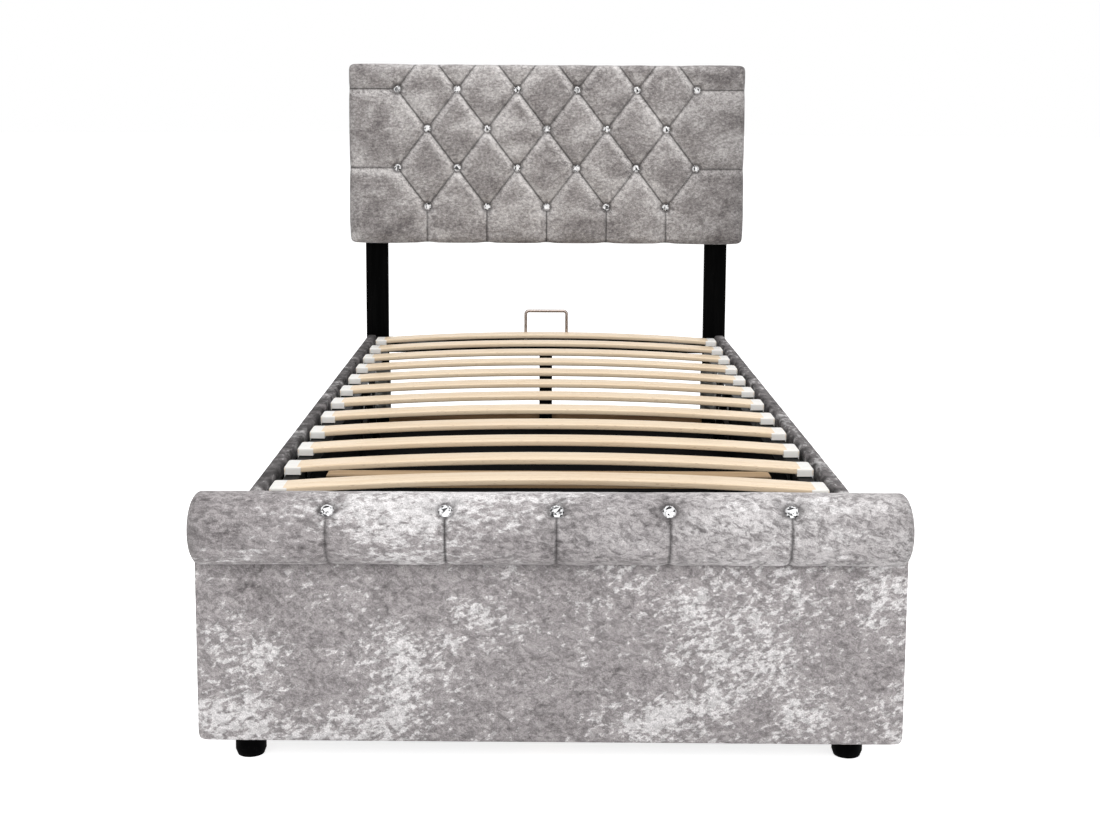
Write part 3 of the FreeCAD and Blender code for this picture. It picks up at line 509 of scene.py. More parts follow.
@dataclass(frozen=True)
class Plastic:
    """Moulded plastic with a fine spark-eroded grain and, if milky, some light below the surface."""

    name: str
    colour: Triple
    roughness: float
    milky: float = 0.0
    gloss: float = 0.4

    def make(self) -> Material:
        """Build the material.

        Returns:
            The plastic.
        """
        graph = Graph(self.name)
        flow = graph.span(graph.grain(graph.place(offset=(7, 3, 1)), 0.03, 3.0, 0.6, 1.0), 0.3, 0.7)
        darker = tuple(channel * 0.86 for channel in self.colour)
        graph.bump(graph.grain(graph.place(), 0.0009, 2.0, 0.6), 0.00012, 0.4)
        return graph.shade(
            Base_Color=graph.blend(graph.times(flow, 0.4), self.colour, darker), Specular_IOR_Level=self.gloss,
            Roughness=graph.span(flow, 0, 1, self.roughness - 0.05, self.roughness + 0.08),
            Subsurface_Weight=self.milky, Subsurface_Radius=(0.006, 0.005, 0.004),
        )


@dataclass(frozen=True)
class CutGlass:
    """A cut stone with a silvered back and painted glints: some facets are painted bright and others dark, on top of
    its gloss.
    """

    name: str
    colour: Triple = (0.97, 0.97, 0.98)
    dark: Triple = (0.02, 0.02, 0.022)

    def make(self) -> Material:
        """Build the material.

        Returns:
            The crystal.
        """
        graph = Graph(self.name)
        cloud = graph.span(graph.grain(graph.place(), 0.002, 2.0, 0.8, 1.0), 0.4, 0.6, 0.75, 1.1)
        # Painted reflections: each facet's number picks the bright or the dark colour.
        tone = graph.blend(graph.span(graph.attribute("facet"), 0.22, 0.42), self.dark, self.colour)
        tone = graph.blend(1.0, tone, cloud, "MULTIPLY")
        graph.bump(graph.grain(graph.place(offset=(1, 2, 3)), 0.003, 1.0), 0.0005, 0.35)
        return graph.shade(
            Base_Color=tone, Metallic=0.3, Roughness=0.08, IOR=1.6, Coat_Weight=0.5, Coat_Roughness=0.02,
        )


@dataclass(frozen=True)
class SpunCloth:
    """The black bonded cloth on the headboard's back: pressed dots over tangled fibres."""

    name: str
    colour: Triple = (0.018, 0.018, 0.019)
    fibre: Triple = (0.05, 0.05, 0.052)
    dots_per_metre: float = 420.0

    def make(self) -> Material:
        """Build the material.

        Returns:
            The cloth.
        """
        graph = Graph(self.name)
        dots = graph.add("ShaderNodeTexVoronoi", {
            "Vector": graph.place(), "Scale": self.dots_per_metre, "Randomness": 0.15,
        }, feature="F1").outputs["Distance"]
        fibres = graph.grain(graph.place(offset=(1, 1, 1)), 0.0016, 5.0, 0.75, 1.5)
        pressed = graph.span(dots, 0.18, 0.34)
        tone = graph.blend(graph.span(fibres, 0.4, 0.7), self.colour, self.fibre)
        graph.bump(graph.times(pressed, graph.maths("ADD", fibres, 0.5)), 0.0003, 0.6)
        return graph.shade(Base_Color=tone, Roughness=graph.span(pressed, 0, 1, 0.62, 0.9), Specular_IOR_Level=0.25)


class Palette:
    """Every material of the bed, made once and looked up by name."""

    def __init__(self) -> None:
        """Make the finishes."""
        softwood = (0.34, 0.20, 0.10), (0.20, 0.11, 0.05)
        finishes = (
            Velvet("velvet_panel"),
            Velvet("velvet_roll", stretch=(0.7, 1.1, 1.4), slant=0.0, seed=(5.0, 2.0, 1.0), silver_start=0.02),
            Velvet(
                "velvet_headboard", shade=(0.268, 0.249, 0.245), silver=(0.62, 0.595, 0.588), patch_size=0.09,
                fleck_size=0.008, patch_weight=1.5, fleck_weight=1.3, silver_start=-0.2, silver_end=0.62,
                nap_size=0.006, nap_low=0.80, nap_high=1.18, mark_size=0.007, mark_share=0.55, slant=0.0,
            ),
            # Painted shade: the rails' velvet is a darker copy of the velvet, with darker shade, silver and deep
            # colours; its flecks are drawn out along the rail.
            Velvet(
                "velvet_rail", shade=(0.27, 0.25, 0.252), silver=(0.66, 0.64, 0.64), deep=(0.09, 0.082, 0.083),
                stretch=(1.0, 0.42, 1.0), slant=0.0, patch_size=0.16, patch_weight=1.3, fleck_weight=1.9,
                silver_start=0.05, sheen=0.03,
            ),
            Beech("beech"),
            Timber("chipboard", (0.55, 0.41, 0.26), (0.30, 0.19, 0.10), (1, 1, 1), 0.01, 0.85, 0.75, 0.0008),
            Timber("lined_board", (0.002,) * 3, (0.005,) * 3, (1, 1, 1), 0.02, 0.5, 0.8, 0.0003, 0.02),
            Timber("painted_leg", (0.0012,) * 3, (0.003,) * 3, (1, 1, 0.06), 0.012, 0.0, 0.65, 0.0003, 0.015),
            Timber("pole_timber", (0.56, 0.39, 0.22), (0.38, 0.24, 0.12)),
            # Painted light: the cross brace's timber is a lighter copy of the softwood.
            Timber("brace_timber", (0.50, 0.35, 0.20), (0.33, 0.21, 0.11)),
            Timber("softwood_across", *softwood),
            Timber("softwood_along", *softwood, (1.0, 0.05, 1.0)),
            Metal("zinc", (0.60, 0.60, 0.58), 0.30, 0.35),
            Metal("bright_wire", (0.36, 0.31, 0.285), 0.16, 0.1, (1, 1, 1)),
            Metal("polished_rod", (0.80, 0.80, 0.81), 0.08),
            Painted("black_steel", (0.0022, 0.0022, 0.0024)),
            Painted("strut_paint", (0.009, 0.009, 0.010), 0.28),
            Plastic("black_plastic", (0.0018, 0.0018, 0.002), 0.62, gloss=0.015),
            Plastic("white_plastic", (0.80, 0.78, 0.745), 0.42, 0.2),
            CutGlass("cut_glass"),
            SpunCloth("spun_cloth"),
        )
        self.made = {finish.name: finish.make() for finish in finishes}

    def __getitem__(self, name: str) -> Material:
        """Look a material up.

        Args:
            name: The finish's name.

        Returns:
            The material.
        """
        return self.made[name]


def link(name: str, data: bpy.types.ID) -> bpy.types.Object:
    """Put an object into the scene.

    Args:
        name: Its name.
        data: Its mesh, curve, light or camera.

    Returns:
        The object.
    """
    thing = bpy.data.objects.new(name, data)
    bpy.context.scene.collection.objects.link(thing)
    return thing


def to_mesh(form: Form, name: str) -> bpy.types.Mesh:
    """Turn a form into a mesh and free it.

    Args:
        form: The form.
        name: The mesh's name.

    Returns:
        The mesh.
    """
    mesh = bpy.data.meshes.new(name)
    form.to_mesh(mesh)
    form.free()
    return mesh


@dataclass(frozen=True)
class ClothSizes:
    """How the cloth simulation behaves."""

    quality: int = 4
    mass: float = 0.25
    tension_stiffness: float = 22.0
    compression_stiffness: float = 16.0
    shear_stiffness: float = 8.0
    bending_stiffness: float = 1.4
    pin_stiffness: float = 1.0


class Piece:
    """One object of the dressed bed, from its mesh to the body that it rides on."""

    def __init__(self, name: str, form: Form, material: Material, smooth: bool = True) -> None:
        """Make the object and free its form.

        Args:
            name: The piece's name.
            form: The shape, in place.
            material: Its finish.
            smooth: Whether its faces are shaded smooth.
        """
        bmesh.ops.recalc_face_normals(form, faces=form.faces)
        for face in form.faces:
            face.smooth = smooth
        self.thing = link(name, to_mesh(form, name))
        self.thing.data.materials.append(material)

    def points(self) -> np.ndarray:
        """Read the mesh's points.

        Returns:
            One row for each point.
        """
        flat = np.empty(len(self.thing.data.vertices) * 3)
        self.thing.data.vertices.foreach_get("co", flat)
        return flat.reshape(-1, 3)

    def move_points(self, points: np.ndarray) -> None:
        """Write the mesh's points.

        Args:
            points: One row for each point.
        """
        self.thing.data.vertices.foreach_set("co", points.reshape(-1))
        self.thing.data.update()

    def tag(self, name: str, values: np.ndarray, domain: str = "POINT") -> None:
        """Store numbers for the material to read.

        Args:
            name: The attribute's name.
            values: One number for each point or face.
            domain: What carries them: POINT or FACE.
        """
        stored = self.thing.data.attributes.new(name, "FLOAT", domain)
        stored.data.foreach_set("value", values.astype(np.float32))

    def paint_glints(self, seed: int) -> None:
        """Give each facet a number that paints it bright or dark: painted glints.

        The row of numbers is steady, but the order of the facets isn't: which of them is dark changes
        from run to run.

        Args:
            seed: Where the row of numbers starts.
        """
        self.tag("facet", np.random.default_rng(seed).random(len(self.thing.data.polygons)), "FACE")

    def sharpen(self) -> None:
        """Keep flat faces flat beside rounded edges."""
        self.thing.data.set_sharp_from_angle(angle=math.radians(40))

    def swell(self, held: np.ndarray, cap: float, pressure: float = 4.0, frames: int = 20) -> None:
        """Swell the form with cloth pressure and keep the result in the mesh.

        Args:
            held: How firmly each point is held, from 0 to 1.
            cap: How far a point may move, in metres.
            pressure: The pressure inside.
            frames: How long the cloth settles.
        """
        rest = self.points()
        group = self.thing.vertex_groups.new(name="held")
        for index in np.nonzero(held > 0.01)[0]:
            group.add([int(index)], float(held[index]), "REPLACE")
        cloth = self.thing.modifiers.new("Cloth", "CLOTH")
        settings = cloth.settings
        for key, value in vars(ClothSizes()).items():
            setattr(settings, key, value)
        settings.vertex_group_mass = group.name
        settings.use_pressure = True
        settings.uniform_pressure_force = pressure
        settings.effector_weights.gravity = 0.0
        cloth.collision_settings.use_collision = False
        cloth.point_cache.frame_start = 1
        cloth.point_cache.frame_end = frames
        scene = bpy.context.scene
        for step in range(1, frames + 1):
            scene.frame_set(step)
        evaluated = self.thing.evaluated_get(bpy.context.evaluated_depsgraph_get())
        swollen = np.empty(len(rest) * 3)
        evaluated.data.vertices.foreach_get("co", swollen)
        self.thing.modifiers.remove(cloth)
        self.thing.vertex_groups.remove(group)
        scene.frame_set(1)
        shift = swollen.reshape(-1, 3) - rest
        length = np.maximum(np.linalg.norm(shift, axis=1, keepdims=True), 1e-9)
        self.move_points(rest + shift * np.minimum(1.0, cap / length))
        log.info("%s swelled by up to %.1f mm", self.thing.name, float(length.max()) / MM)

    def refine(self) -> None:
        """Subdivide the mesh once and keep the result."""
        subdivision = self.thing.modifiers.new("Subdivision", "SUBSURF")
        subdivision.levels = subdivision.render_levels = 1
        evaluated = self.thing.evaluated_get(bpy.context.evaluated_depsgraph_get())
        finer = bpy.data.meshes.new_from_object(evaluated)
        self.thing.modifiers.remove(subdivision)
        finer.name = self.thing.name
        self.thing.data = finer

    def settle(self, body: Body, node: str) -> None:
        """Say what the piece rides on and hide the packed node that it stands for.

        Args:
            body: The body that carries it.
            node: The node that it replaces.
        """
        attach(self.thing, body.value)
        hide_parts(node)
        log.info("%s: %d faces", self.thing.name, len(self.thing.data.polygons))


def block(low: Sequence[float], high: Sequence[float]) -> Form:
    """Make a plain block.

    Args:
        low: The lowest corner.
        high: The highest corner.

    Returns:
        The block.
    """
    low, high = Vector(low), Vector(high)
    form = bmesh.new()
    bmesh.ops.create_cube(form, size=1.0)
    bmesh.ops.scale(form, vec=high - low, verts=form.verts)
    bmesh.ops.translate(form, vec=(low + high) / 2, verts=form.verts)
    return form


def fine_block(low: Sequence[float], high: Sequence[float], cell: Triple) -> Form:
    """Make a block whose faces are cut into a grid.

    Args:
        low: The lowest corner.
        high: The highest corner.
        cell: The size of a cell along each axis.

    Returns:
        The block.
    """
    form = block(low, high)
    for axis in range(3):
        cuts = int(round((high[axis] - low[axis]) / cell[axis])) - 1
        edges = [
            edge for edge in form.edges
            if abs((edge.verts[1].co - edge.verts[0].co).normalized()[axis]) > 0.9
        ]
        if cuts > 0:
            bmesh.ops.subdivide_edges(form, edges=edges, cuts=cuts)
    return form


def open_back(form: Form, low: Vector, high: Vector, rim: float, top_rim: float) -> None:
    """Take the hidden faces off a block's back.

    Args:
        form: The block.
        low: Its lowest corner.
        high: Its highest corner.
        rim: The width of the rim that stays at the sides and below.
        top_rim: The same at the top.
    """
    hidden = []
    for face in form.faces:
        middle = face.calc_center_median()
        inside = abs(middle.x) < high.x - rim and low.z + rim < middle.z < high.z - top_rim
        if inside and middle.y > high.y - MM / 10:
            hidden.append(face)
    bmesh.ops.delete(form, geom=hidden, context="FACES")


def bevel(form: Form, edges: Iterable[bmesh.types.BMEdge], width: float, segments: int) -> None:
    """Round edges off.

    Args:
        form: The form.
        edges: Its edges to round.
        width: How wide.
        segments: How many faces each gets.
    """
    bmesh.ops.bevel(
        form, geom=list(edges), offset=width, segments=segments, profile=0.5, affect="EDGES", material=-1,
    )


def soften(points: np.ndarray, low: Vector, high: Vector, radius: float, far: Triple) -> tuple[np.ndarray, np.ndarray]:
    """Round a block off towards its corners.

    Args:
        points: The block's points.
        low: Its lowest corner.
        high: Its highest corner.
        radius: How far the rounding reaches inside from the low sides.
        far: The same from each high side.

    Returns:
        The moved points and the outward direction at each.
    """
    inner = np.clip(points, np.array(low) + radius, np.array(high) - far)
    offset = points - inner
    reach = np.linalg.norm(offset, axis=1, keepdims=True)
    outward = np.divide(offset, reach, out=np.zeros_like(offset), where=reach > 1e-9)
    return inner + outward * np.max(np.abs(offset), axis=1, keepdims=True), outward


def segment_distance(x: np.ndarray, z: np.ndarray, start: Point, end: Point) -> np.ndarray:
    """Measure how far points lie from a straight line between two ends.

    Args:
        x: The points' places across.
        z: The points' heights.
        start: One end.
        end: The other end.

    Returns:
        The distances.
    """
    run = np.array(end) - np.array(start)
    share = np.clip(((x - start[0]) * run[0] + (z - start[1]) * run[1]) / (run @ run), 0.0, 1.0)
    return np.hypot(x - start[0] - share * run[0], z - start[1] - share * run[1])


def ramp(values: np.ndarray, none: float, full: float) -> np.ndarray:
    """Rise evenly from 0 to 1 and stay there.

    Args:
        values: What is measured.
        none: Where the rise is at 0.
        full: Where it is at 1.

    Returns:
        Numbers from 0 to 1.
    """
    return np.clip((values - none) / (full - none), 0, 1)


def fold(distance: np.ndarray, blunt: float, reach: float) -> np.ndarray:
    """Give the section of a pleat: 1 at its bottom, with round flanks.

    Args:
        distance: How far from the pleat.
        blunt: How blunt its bottom is.
        reach: Where its flanks end.

    Returns:
        Numbers from 0 to 1.
    """
    near = np.clip(np.sqrt(distance ** 2 + blunt ** 2) / reach, 0, 1)
    return 1 - np.sqrt(1 - (1 - near) ** 2)


def bell(distance: np.ndarray, width: float) -> np.ndarray:
    """Give a smooth bump that is 1 at no distance.

    Args:
        distance: The distances.
        width: Where the bump has fallen to about a third.

    Returns:
        The bump's height.
    """
    return np.exp(-((distance / width) ** 2))


def ripples(points: np.ndarray, *layers: Ripple) -> np.ndarray:
    """Add up steady clouds of noise at each point.

    Args:
        points: The points.
        *layers: Each cloud's feature size along the axes, where its reading starts, and its height.

    Returns:
        The sums.
    """
    total = np.zeros(len(points))
    for size, seed, height in layers:
        start = Vector((seed, seed * 1.7, seed * 2.3))
        total += height * np.array([noise.noise(Vector(point) + start) for point in points / size])
    return total


def cut_stone(radius: float, girdle: float, height: float) -> Form:
    """Make one cut stone on the origin that faces +Z: a girdle and three turned rings of facets.

    Args:
        radius: Its widest radius.
        girdle: The height of its girdle.
        height: Its whole height.

    Returns:
        The stone.
    """
    sides = 10
    form = bmesh.new()
    made = bmesh.ops.create_circle(form, cap_ends=True, radius=radius, segments=sides)
    face = made["verts"][0].link_faces[0]
    crown = height - girdle
    turn = math.pi / sides
    rings = (
        (girdle, 1.0, 0.0), (crown * 0.45, 0.87, turn), (crown * 0.33, 0.70, turn), (crown * 0.22, 0.46, turn),
    )
    for lift, share, angle in rings:
        grown = bmesh.ops.extrude_face_region(form, geom=[face])["geom"]
        if lift != girdle and face.is_valid:
            bmesh.ops.delete(form, geom=[face], context="FACES_ONLY")
        corners = [item for item in grown if isinstance(item, bmesh.types.BMVert)]
        face = next(item for item in grown if isinstance(item, bmesh.types.BMFace))
        scale = share * radius / max(vert.co.xy.length for vert in corners)
        bmesh.ops.scale(form, vec=(scale, scale, 1), verts=corners)
        bmesh.ops.rotate(form, cent=(0, 0, 0), matrix=Matrix.Rotation(angle, 3, "Z"), verts=corners)
        bmesh.ops.translate(form, vec=(0, 0, lift), verts=corners)
    bmesh.ops.triangulate(form, faces=form.faces)
    return form


def copies(template: Form, places: Iterable[Matrix]) -> Form:
    """Repeat a form at several places.

    Args:
        template: The form, which is freed.
        places: Where each copy goes.

    Returns:
        All copies as one form.
    """
    mesh = to_mesh(template, "template")
    whole = bmesh.new()
    for place in places:
        before = len(whole.verts)
        whole.from_mesh(mesh)
        whole.verts.ensure_lookup_table()
        bmesh.ops.transform(whole, matrix=place, verts=whole.verts[before:])
    bpy.data.meshes.remove(mesh)
    return whole


class Assembly:
    """A part of the bed: new pieces that it builds, and packed nodes that stay and get a finish."""

    kept: Sequence[tuple[str, str, float]] = ()

    def __init__(self, palette: Palette) -> None:
        """Keep the materials.

        Args:
            palette: The materials.
        """
        self.palette = palette

    def build(self) -> None:
        """Build the new pieces."""

    def dress(self) -> None:
        """Finish the kept nodes; each row has their names, their finish and the width of their softened edges."""
        for names, finish, width in self.kept:
            for name in names.split():
                self.finish(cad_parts[name], self.palette[finish], width)

    def finish(self, node: bpy.types.Object, material: Material, width: float) -> None:
        """Give a packed node its finish and soften its edges.

        Args:
            node: The node.
            material: The finish.
            width: The width of the softened edges.
        """
        node.data.materials.clear()
        node.data.materials.append(material)
        if "custom_normal" in node.data.attributes:
            node.data.attributes.remove(node.data.attributes["custom_normal"])
        node.data.polygons.foreach_set("use_smooth", [True] * len(node.data.polygons))
        weld = node.modifiers.new("Weld", "WELD")
        weld.merge_threshold = 0.00002
        edge = node.modifiers.new("Bevel", "BEVEL")
        edge.width = width
        edge.segments = 2
        edge.limit_method = "ANGLE"
        edge.angle_limit = math.radians(32)
        edge.harden_normals = True

    def stones(self, name: str, radius: float, seats: Iterable[Vector], outward: Vector, seed: int, node: str) -> None:
        """Build a set of crystals.

        Args:
            name: The piece's name.
            radius: The stones' radius.
            seats: Where they stand.
            outward: Where they face.
            seed: Where their row of brightness numbers starts.
            node: The packed node that they replace.
        """
        turned = outward.to_track_quat("Z", "Y").to_matrix().to_4x4()
        places = [Matrix.Translation(seat) @ turned for seat in seats]
        stone = cut_stone(radius, girdle=0.003, height=0.011)
        piece = Piece(name, copies(stone, places), self.palette["cut_glass"], smooth=False)
        piece.paint_glints(seed)
        piece.settle(Body.BASE, node)


@dataclass(frozen=True)
class HeadboardSizes:
    """Sizes of the tufted headboard."""

    rows: int = 4
    columns: int = 6
    cell: float = 0.006
    rounding: float = 0.013
    inset: float = 0.0006
    rim: float = 0.030
    button_radius: float = 0.0115
    stone_radius: float = 0.0136
    overrun: float = 0.03
    pleat_depth: float = 0.0075
    pleat_reach: float = 0.030
    pleat_blunt: float = 0.0016
    button_depth: float = 0.0225
    button_reach: float = 0.024
    pocket_share: float = 0.62
    fade: float = 0.042
    edge_reach: float = 0.045
    edge_share: float = 0.35
    # Painted shade along each pleat; painted highlight below the pleats and in rays round the buttons; painted shade
    # towards the sides.
    crease_shade: float = 0.0021
    highlight_offset: float = 0.009
    highlight_width: float = 0.008
    highlight_left: float = 0.6
    highlight_ends: float = 0.12
    rays: int = 7
    ray_share: float = 0.75
    ray_start: float = 0.020
    ray_width: float = 0.014
    side_shade: float = 0.16
    side_tilt: float = 0.6
    pleat_held: float = 0.006
    button_held: float = 0.014
    back_free: float = 0.03
    back_held: float = 0.05
    face_depth: float = 0.06
    face_gain: float = 1.6
    smooth_reach: float = 0.02
    # Painted shade in the button pockets.
    pocket_shade: float = 0.6
    pocket_radius: float = 0.0125
    pocket_blur: float = 0.0025
    swell_cap: float = 0.005
    wrinkles: tuple[Ripple, Ripple] = (((0.05, 0.05, 0.035), 4.0, 0.0009), ((0.018, 0.02, 0.012), 9.0, 0.0004))


class Headboard(Assembly):
    """The velvet headboard with its diamond tufting and crystals, on two black legs."""

    sizes = HeadboardSizes()
    kept = (
        ("headboard_board", "chipboard", 0.0008),
        ("headboard_back_cloth", "spun_cloth", 0.0003),
        ("headboard_leg_right headboard_leg_left", "painted_leg", 0.0015),
        ("leg_bolts", "zinc", 0.0006),
    )

    def __init__(self, palette: Palette) -> None:
        """Read the tufting's places from the packed buttons.

        Args:
            palette: The materials.
        """
        super().__init__(palette)
        sizes = self.sizes
        self.low, self.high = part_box("headboard_cover")
        low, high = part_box("headboard_buttons")
        self.seat = high.y
        self.top = high.z - sizes.button_radius
        self.pitch_x = 2 * (high.x - sizes.button_radius) / (sizes.columns - 1)
        self.pitch_z = (self.top - low.z - sizes.button_radius) / (sizes.rows - 1)
        self.buttons = [self.button(column, row) for row in range(sizes.rows) for column in self.row(row)]

    def end(self, row: int) -> int:
        """Count the half steps from the middle to a row's end button.

        Args:
            row: The row, from the top.

        Returns:
            The half steps.
        """
        return self.sizes.columns - 1 - row % 2

    def row(self, row: int) -> range:
        """List a row's buttons.

        Args:
            row: The row, from the top.

        Returns:
            Their half steps from the middle.
        """
        return range(-self.end(row), self.end(row) + 1, 2)

    def button(self, column: int, row: int) -> Point:
        """Give a button's place.

        Args:
            column: Half steps from the middle.
            row: The row, from the top.

        Returns:
            Its place across and its height.
        """
        return column * self.pitch_x / 2, self.top - row * self.pitch_z

    def pleats(self) -> list[tuple[Point, Point]]:
        """List the pleats: the diamonds' sides, the runs to the edges and those to the bottom.

        Returns:
            The two ends of each pleat.
        """
        lines = []
        rows, overrun = self.sizes.rows, self.sizes.overrun
        rise = self.high.z + overrun - self.top
        lean = rise * self.pitch_x / 2 / self.pitch_z
        for side in (-1, 1):
            for column in self.row(0):
                steps = 0
                while steps + 1 < rows and abs(column + side * (steps + 1)) <= self.end(steps + 1):
                    steps += 1
                x, z = self.button(column, 0)
                start = (x, z) if column == -side * self.end(0) else (x - side * lean, z + rise)
                lines.append((start, self.button(column + side * steps, steps)))
            for row in range(0, rows, 2):
                outer = self.button(side * self.end(row), row)
                lines.append((outer, (side * (self.high.x + overrun), outer[1])))
                if row:
                    lines.append((outer, self.button(side * self.end(row + 1), row + 1)))
        for column in self.row(rows - 1):
            x, z = self.button(column, rows - 1)
            lines.append(((x, z), (x, self.low.z - overrun)))
        return lines

    def tufting(self, points: np.ndarray) -> tuple[np.ndarray, np.ndarray, np.ndarray]:
        """Work out how deep the tufting is at each point.

        Args:
            points: The points.

        Returns:
            The depth, the distance to the nearest pleat and the distance to the nearest button.
        """
        sizes = self.sizes
        x, z = points[:, 0], points[:, 2]
        pleat = np.min([segment_distance(x, z, start, end) for start, end in self.pleats()], axis=0)
        button = np.min([np.hypot(x - across, z - height) for across, height in self.buttons], axis=0)
        inside = ramp(np.abs(x), self.high.x, self.high.x - sizes.edge_reach)
        drawn = fold(pleat, sizes.pleat_blunt, sizes.pleat_reach)
        drawn = drawn * (sizes.edge_share + (1 - sizes.edge_share) * inside)
        pull = bell(button, sizes.button_reach)
        depth = drawn * (sizes.pleat_depth + (sizes.button_depth - sizes.pleat_depth) * pull)
        pocket = sizes.button_depth * bell(button, sizes.button_reach * sizes.pocket_share)
        return np.maximum(depth, pocket), pleat, button

    def brushed(self, points: np.ndarray) -> np.ndarray:
        """Say where a highlight is painted: below each pleat, more where it falls to the right, and in rays.

        Args:
            points: The points.

        Returns:
            How light each point is, from 0 to 1.
        """
        sizes = self.sizes
        band = np.zeros(len(points))
        for start, end in self.pleats():
            upper, lower = (start, end) if start[1] > end[1] else (end, start)
            run = np.array(lower) - np.array(upper)
            if abs(run[0]) < MM:
                continue
            x, z = points[:, 0] - upper[0], points[:, 2] - upper[1]
            share = (x * run[0] + z * run[1]) / (run @ run)
            across = (x * run[1] - z * run[0]) / math.hypot(*run) * math.copysign(1, run[0])
            ends = ramp(np.minimum(share, 1 - share), 0, sizes.highlight_ends) * (1.0 if run[0] > 0 else sizes.highlight_left)
            band = np.maximum(band, bell(across - sizes.highlight_offset, sizes.highlight_width) * ends)
        for across, height in self.buttons:
            x, z = points[:, 0] - across, points[:, 2] - height
            rays = 0.5 + 0.5 * np.cos(sizes.rays * np.arctan2(z, x) + 40 * across + 25 * height)
            ring = bell(np.hypot(x, z) - sizes.ray_start, sizes.ray_width)
            band = np.maximum(band, sizes.ray_share * ring * rays)
        return band

    def cover(self) -> None:
        """Build the padded cover: a rounded slab, drawn in at the pleats and swelled between them."""
        sizes = self.sizes
        low = self.low + Vector((sizes.inset, sizes.inset, sizes.inset))
        high = self.high - Vector((sizes.inset, 0, sizes.inset))
        form = fine_block(low, high, (sizes.cell, sizes.cell, sizes.cell))
        open_back(form, low, high, sizes.rim, sizes.rim)
        piece = Piece("headboard_velvet", form, self.palette["velvet_headboard"])
        points, outward = soften(piece.points(), low, high, sizes.rounding, (sizes.rounding, 0.0, sizes.rounding))
        depth, pleat, button = self.tufting(points)
        fade = ramp(points[:, 1], low.y + sizes.fade, low.y)
        fade = fade * fade * (3 - 2 * fade)
        piece.move_points(points - outward * (depth * fade)[:, None])
        held = np.clip(1.6 - pleat / sizes.pleat_held, 0, 1) * fade
        held = held + np.clip(1.5 - button / sizes.button_held, 0, 1) * fade
        back = ramp(points[:, 1], low.y + sizes.back_free, low.y + sizes.back_held)
        piece.swell(np.clip(held + back, 0, 1), sizes.swell_cap)
        piece.refine()
        points = piece.points()
        _, pleat, button = self.tufting(points)
        fade = ramp(points[:, 1], low.y + sizes.face_depth, low.y)
        points[:, 1] -= ripples(points, *sizes.wrinkles) * fade * ramp(pleat, 0, sizes.smooth_reach)
        piece.move_points(points)
        # Painted shade: dark lines along the pleats, dark button pockets and darker sides, more on the right.
        pocket = sizes.pocket_shade * bell(np.maximum(button - sizes.pocket_radius, 0), sizes.pocket_blur)
        front = np.clip(fade * sizes.face_gain, 0, 1)
        sides = ramp(np.abs(points[:, 0]), self.high.x / 2, self.high.x) * sizes.side_shade
        sides *= 1 + sizes.side_tilt * np.sign(points[:, 0])
        piece.tag("pleat", np.maximum(np.maximum(bell(pleat, sizes.crease_shade), pocket) * front, sides))
        # Painted highlight below the pleats and round the buttons.
        piece.tag("brushed", self.brushed(points) * front)
        piece.settle(Body.BASE, "headboard_cover")

    def build(self) -> None:
        """Build the cover and the crystals, each on its seat at the bottom of its button pocket."""
        self.cover()
        seats = [Vector((x, self.seat, z)) for x, z in self.buttons]
        radius = self.sizes.stone_radius
        self.stones("headboard_crystals", radius, seats, Vector((0, -1, 0)), 1, "headboard_buttons")


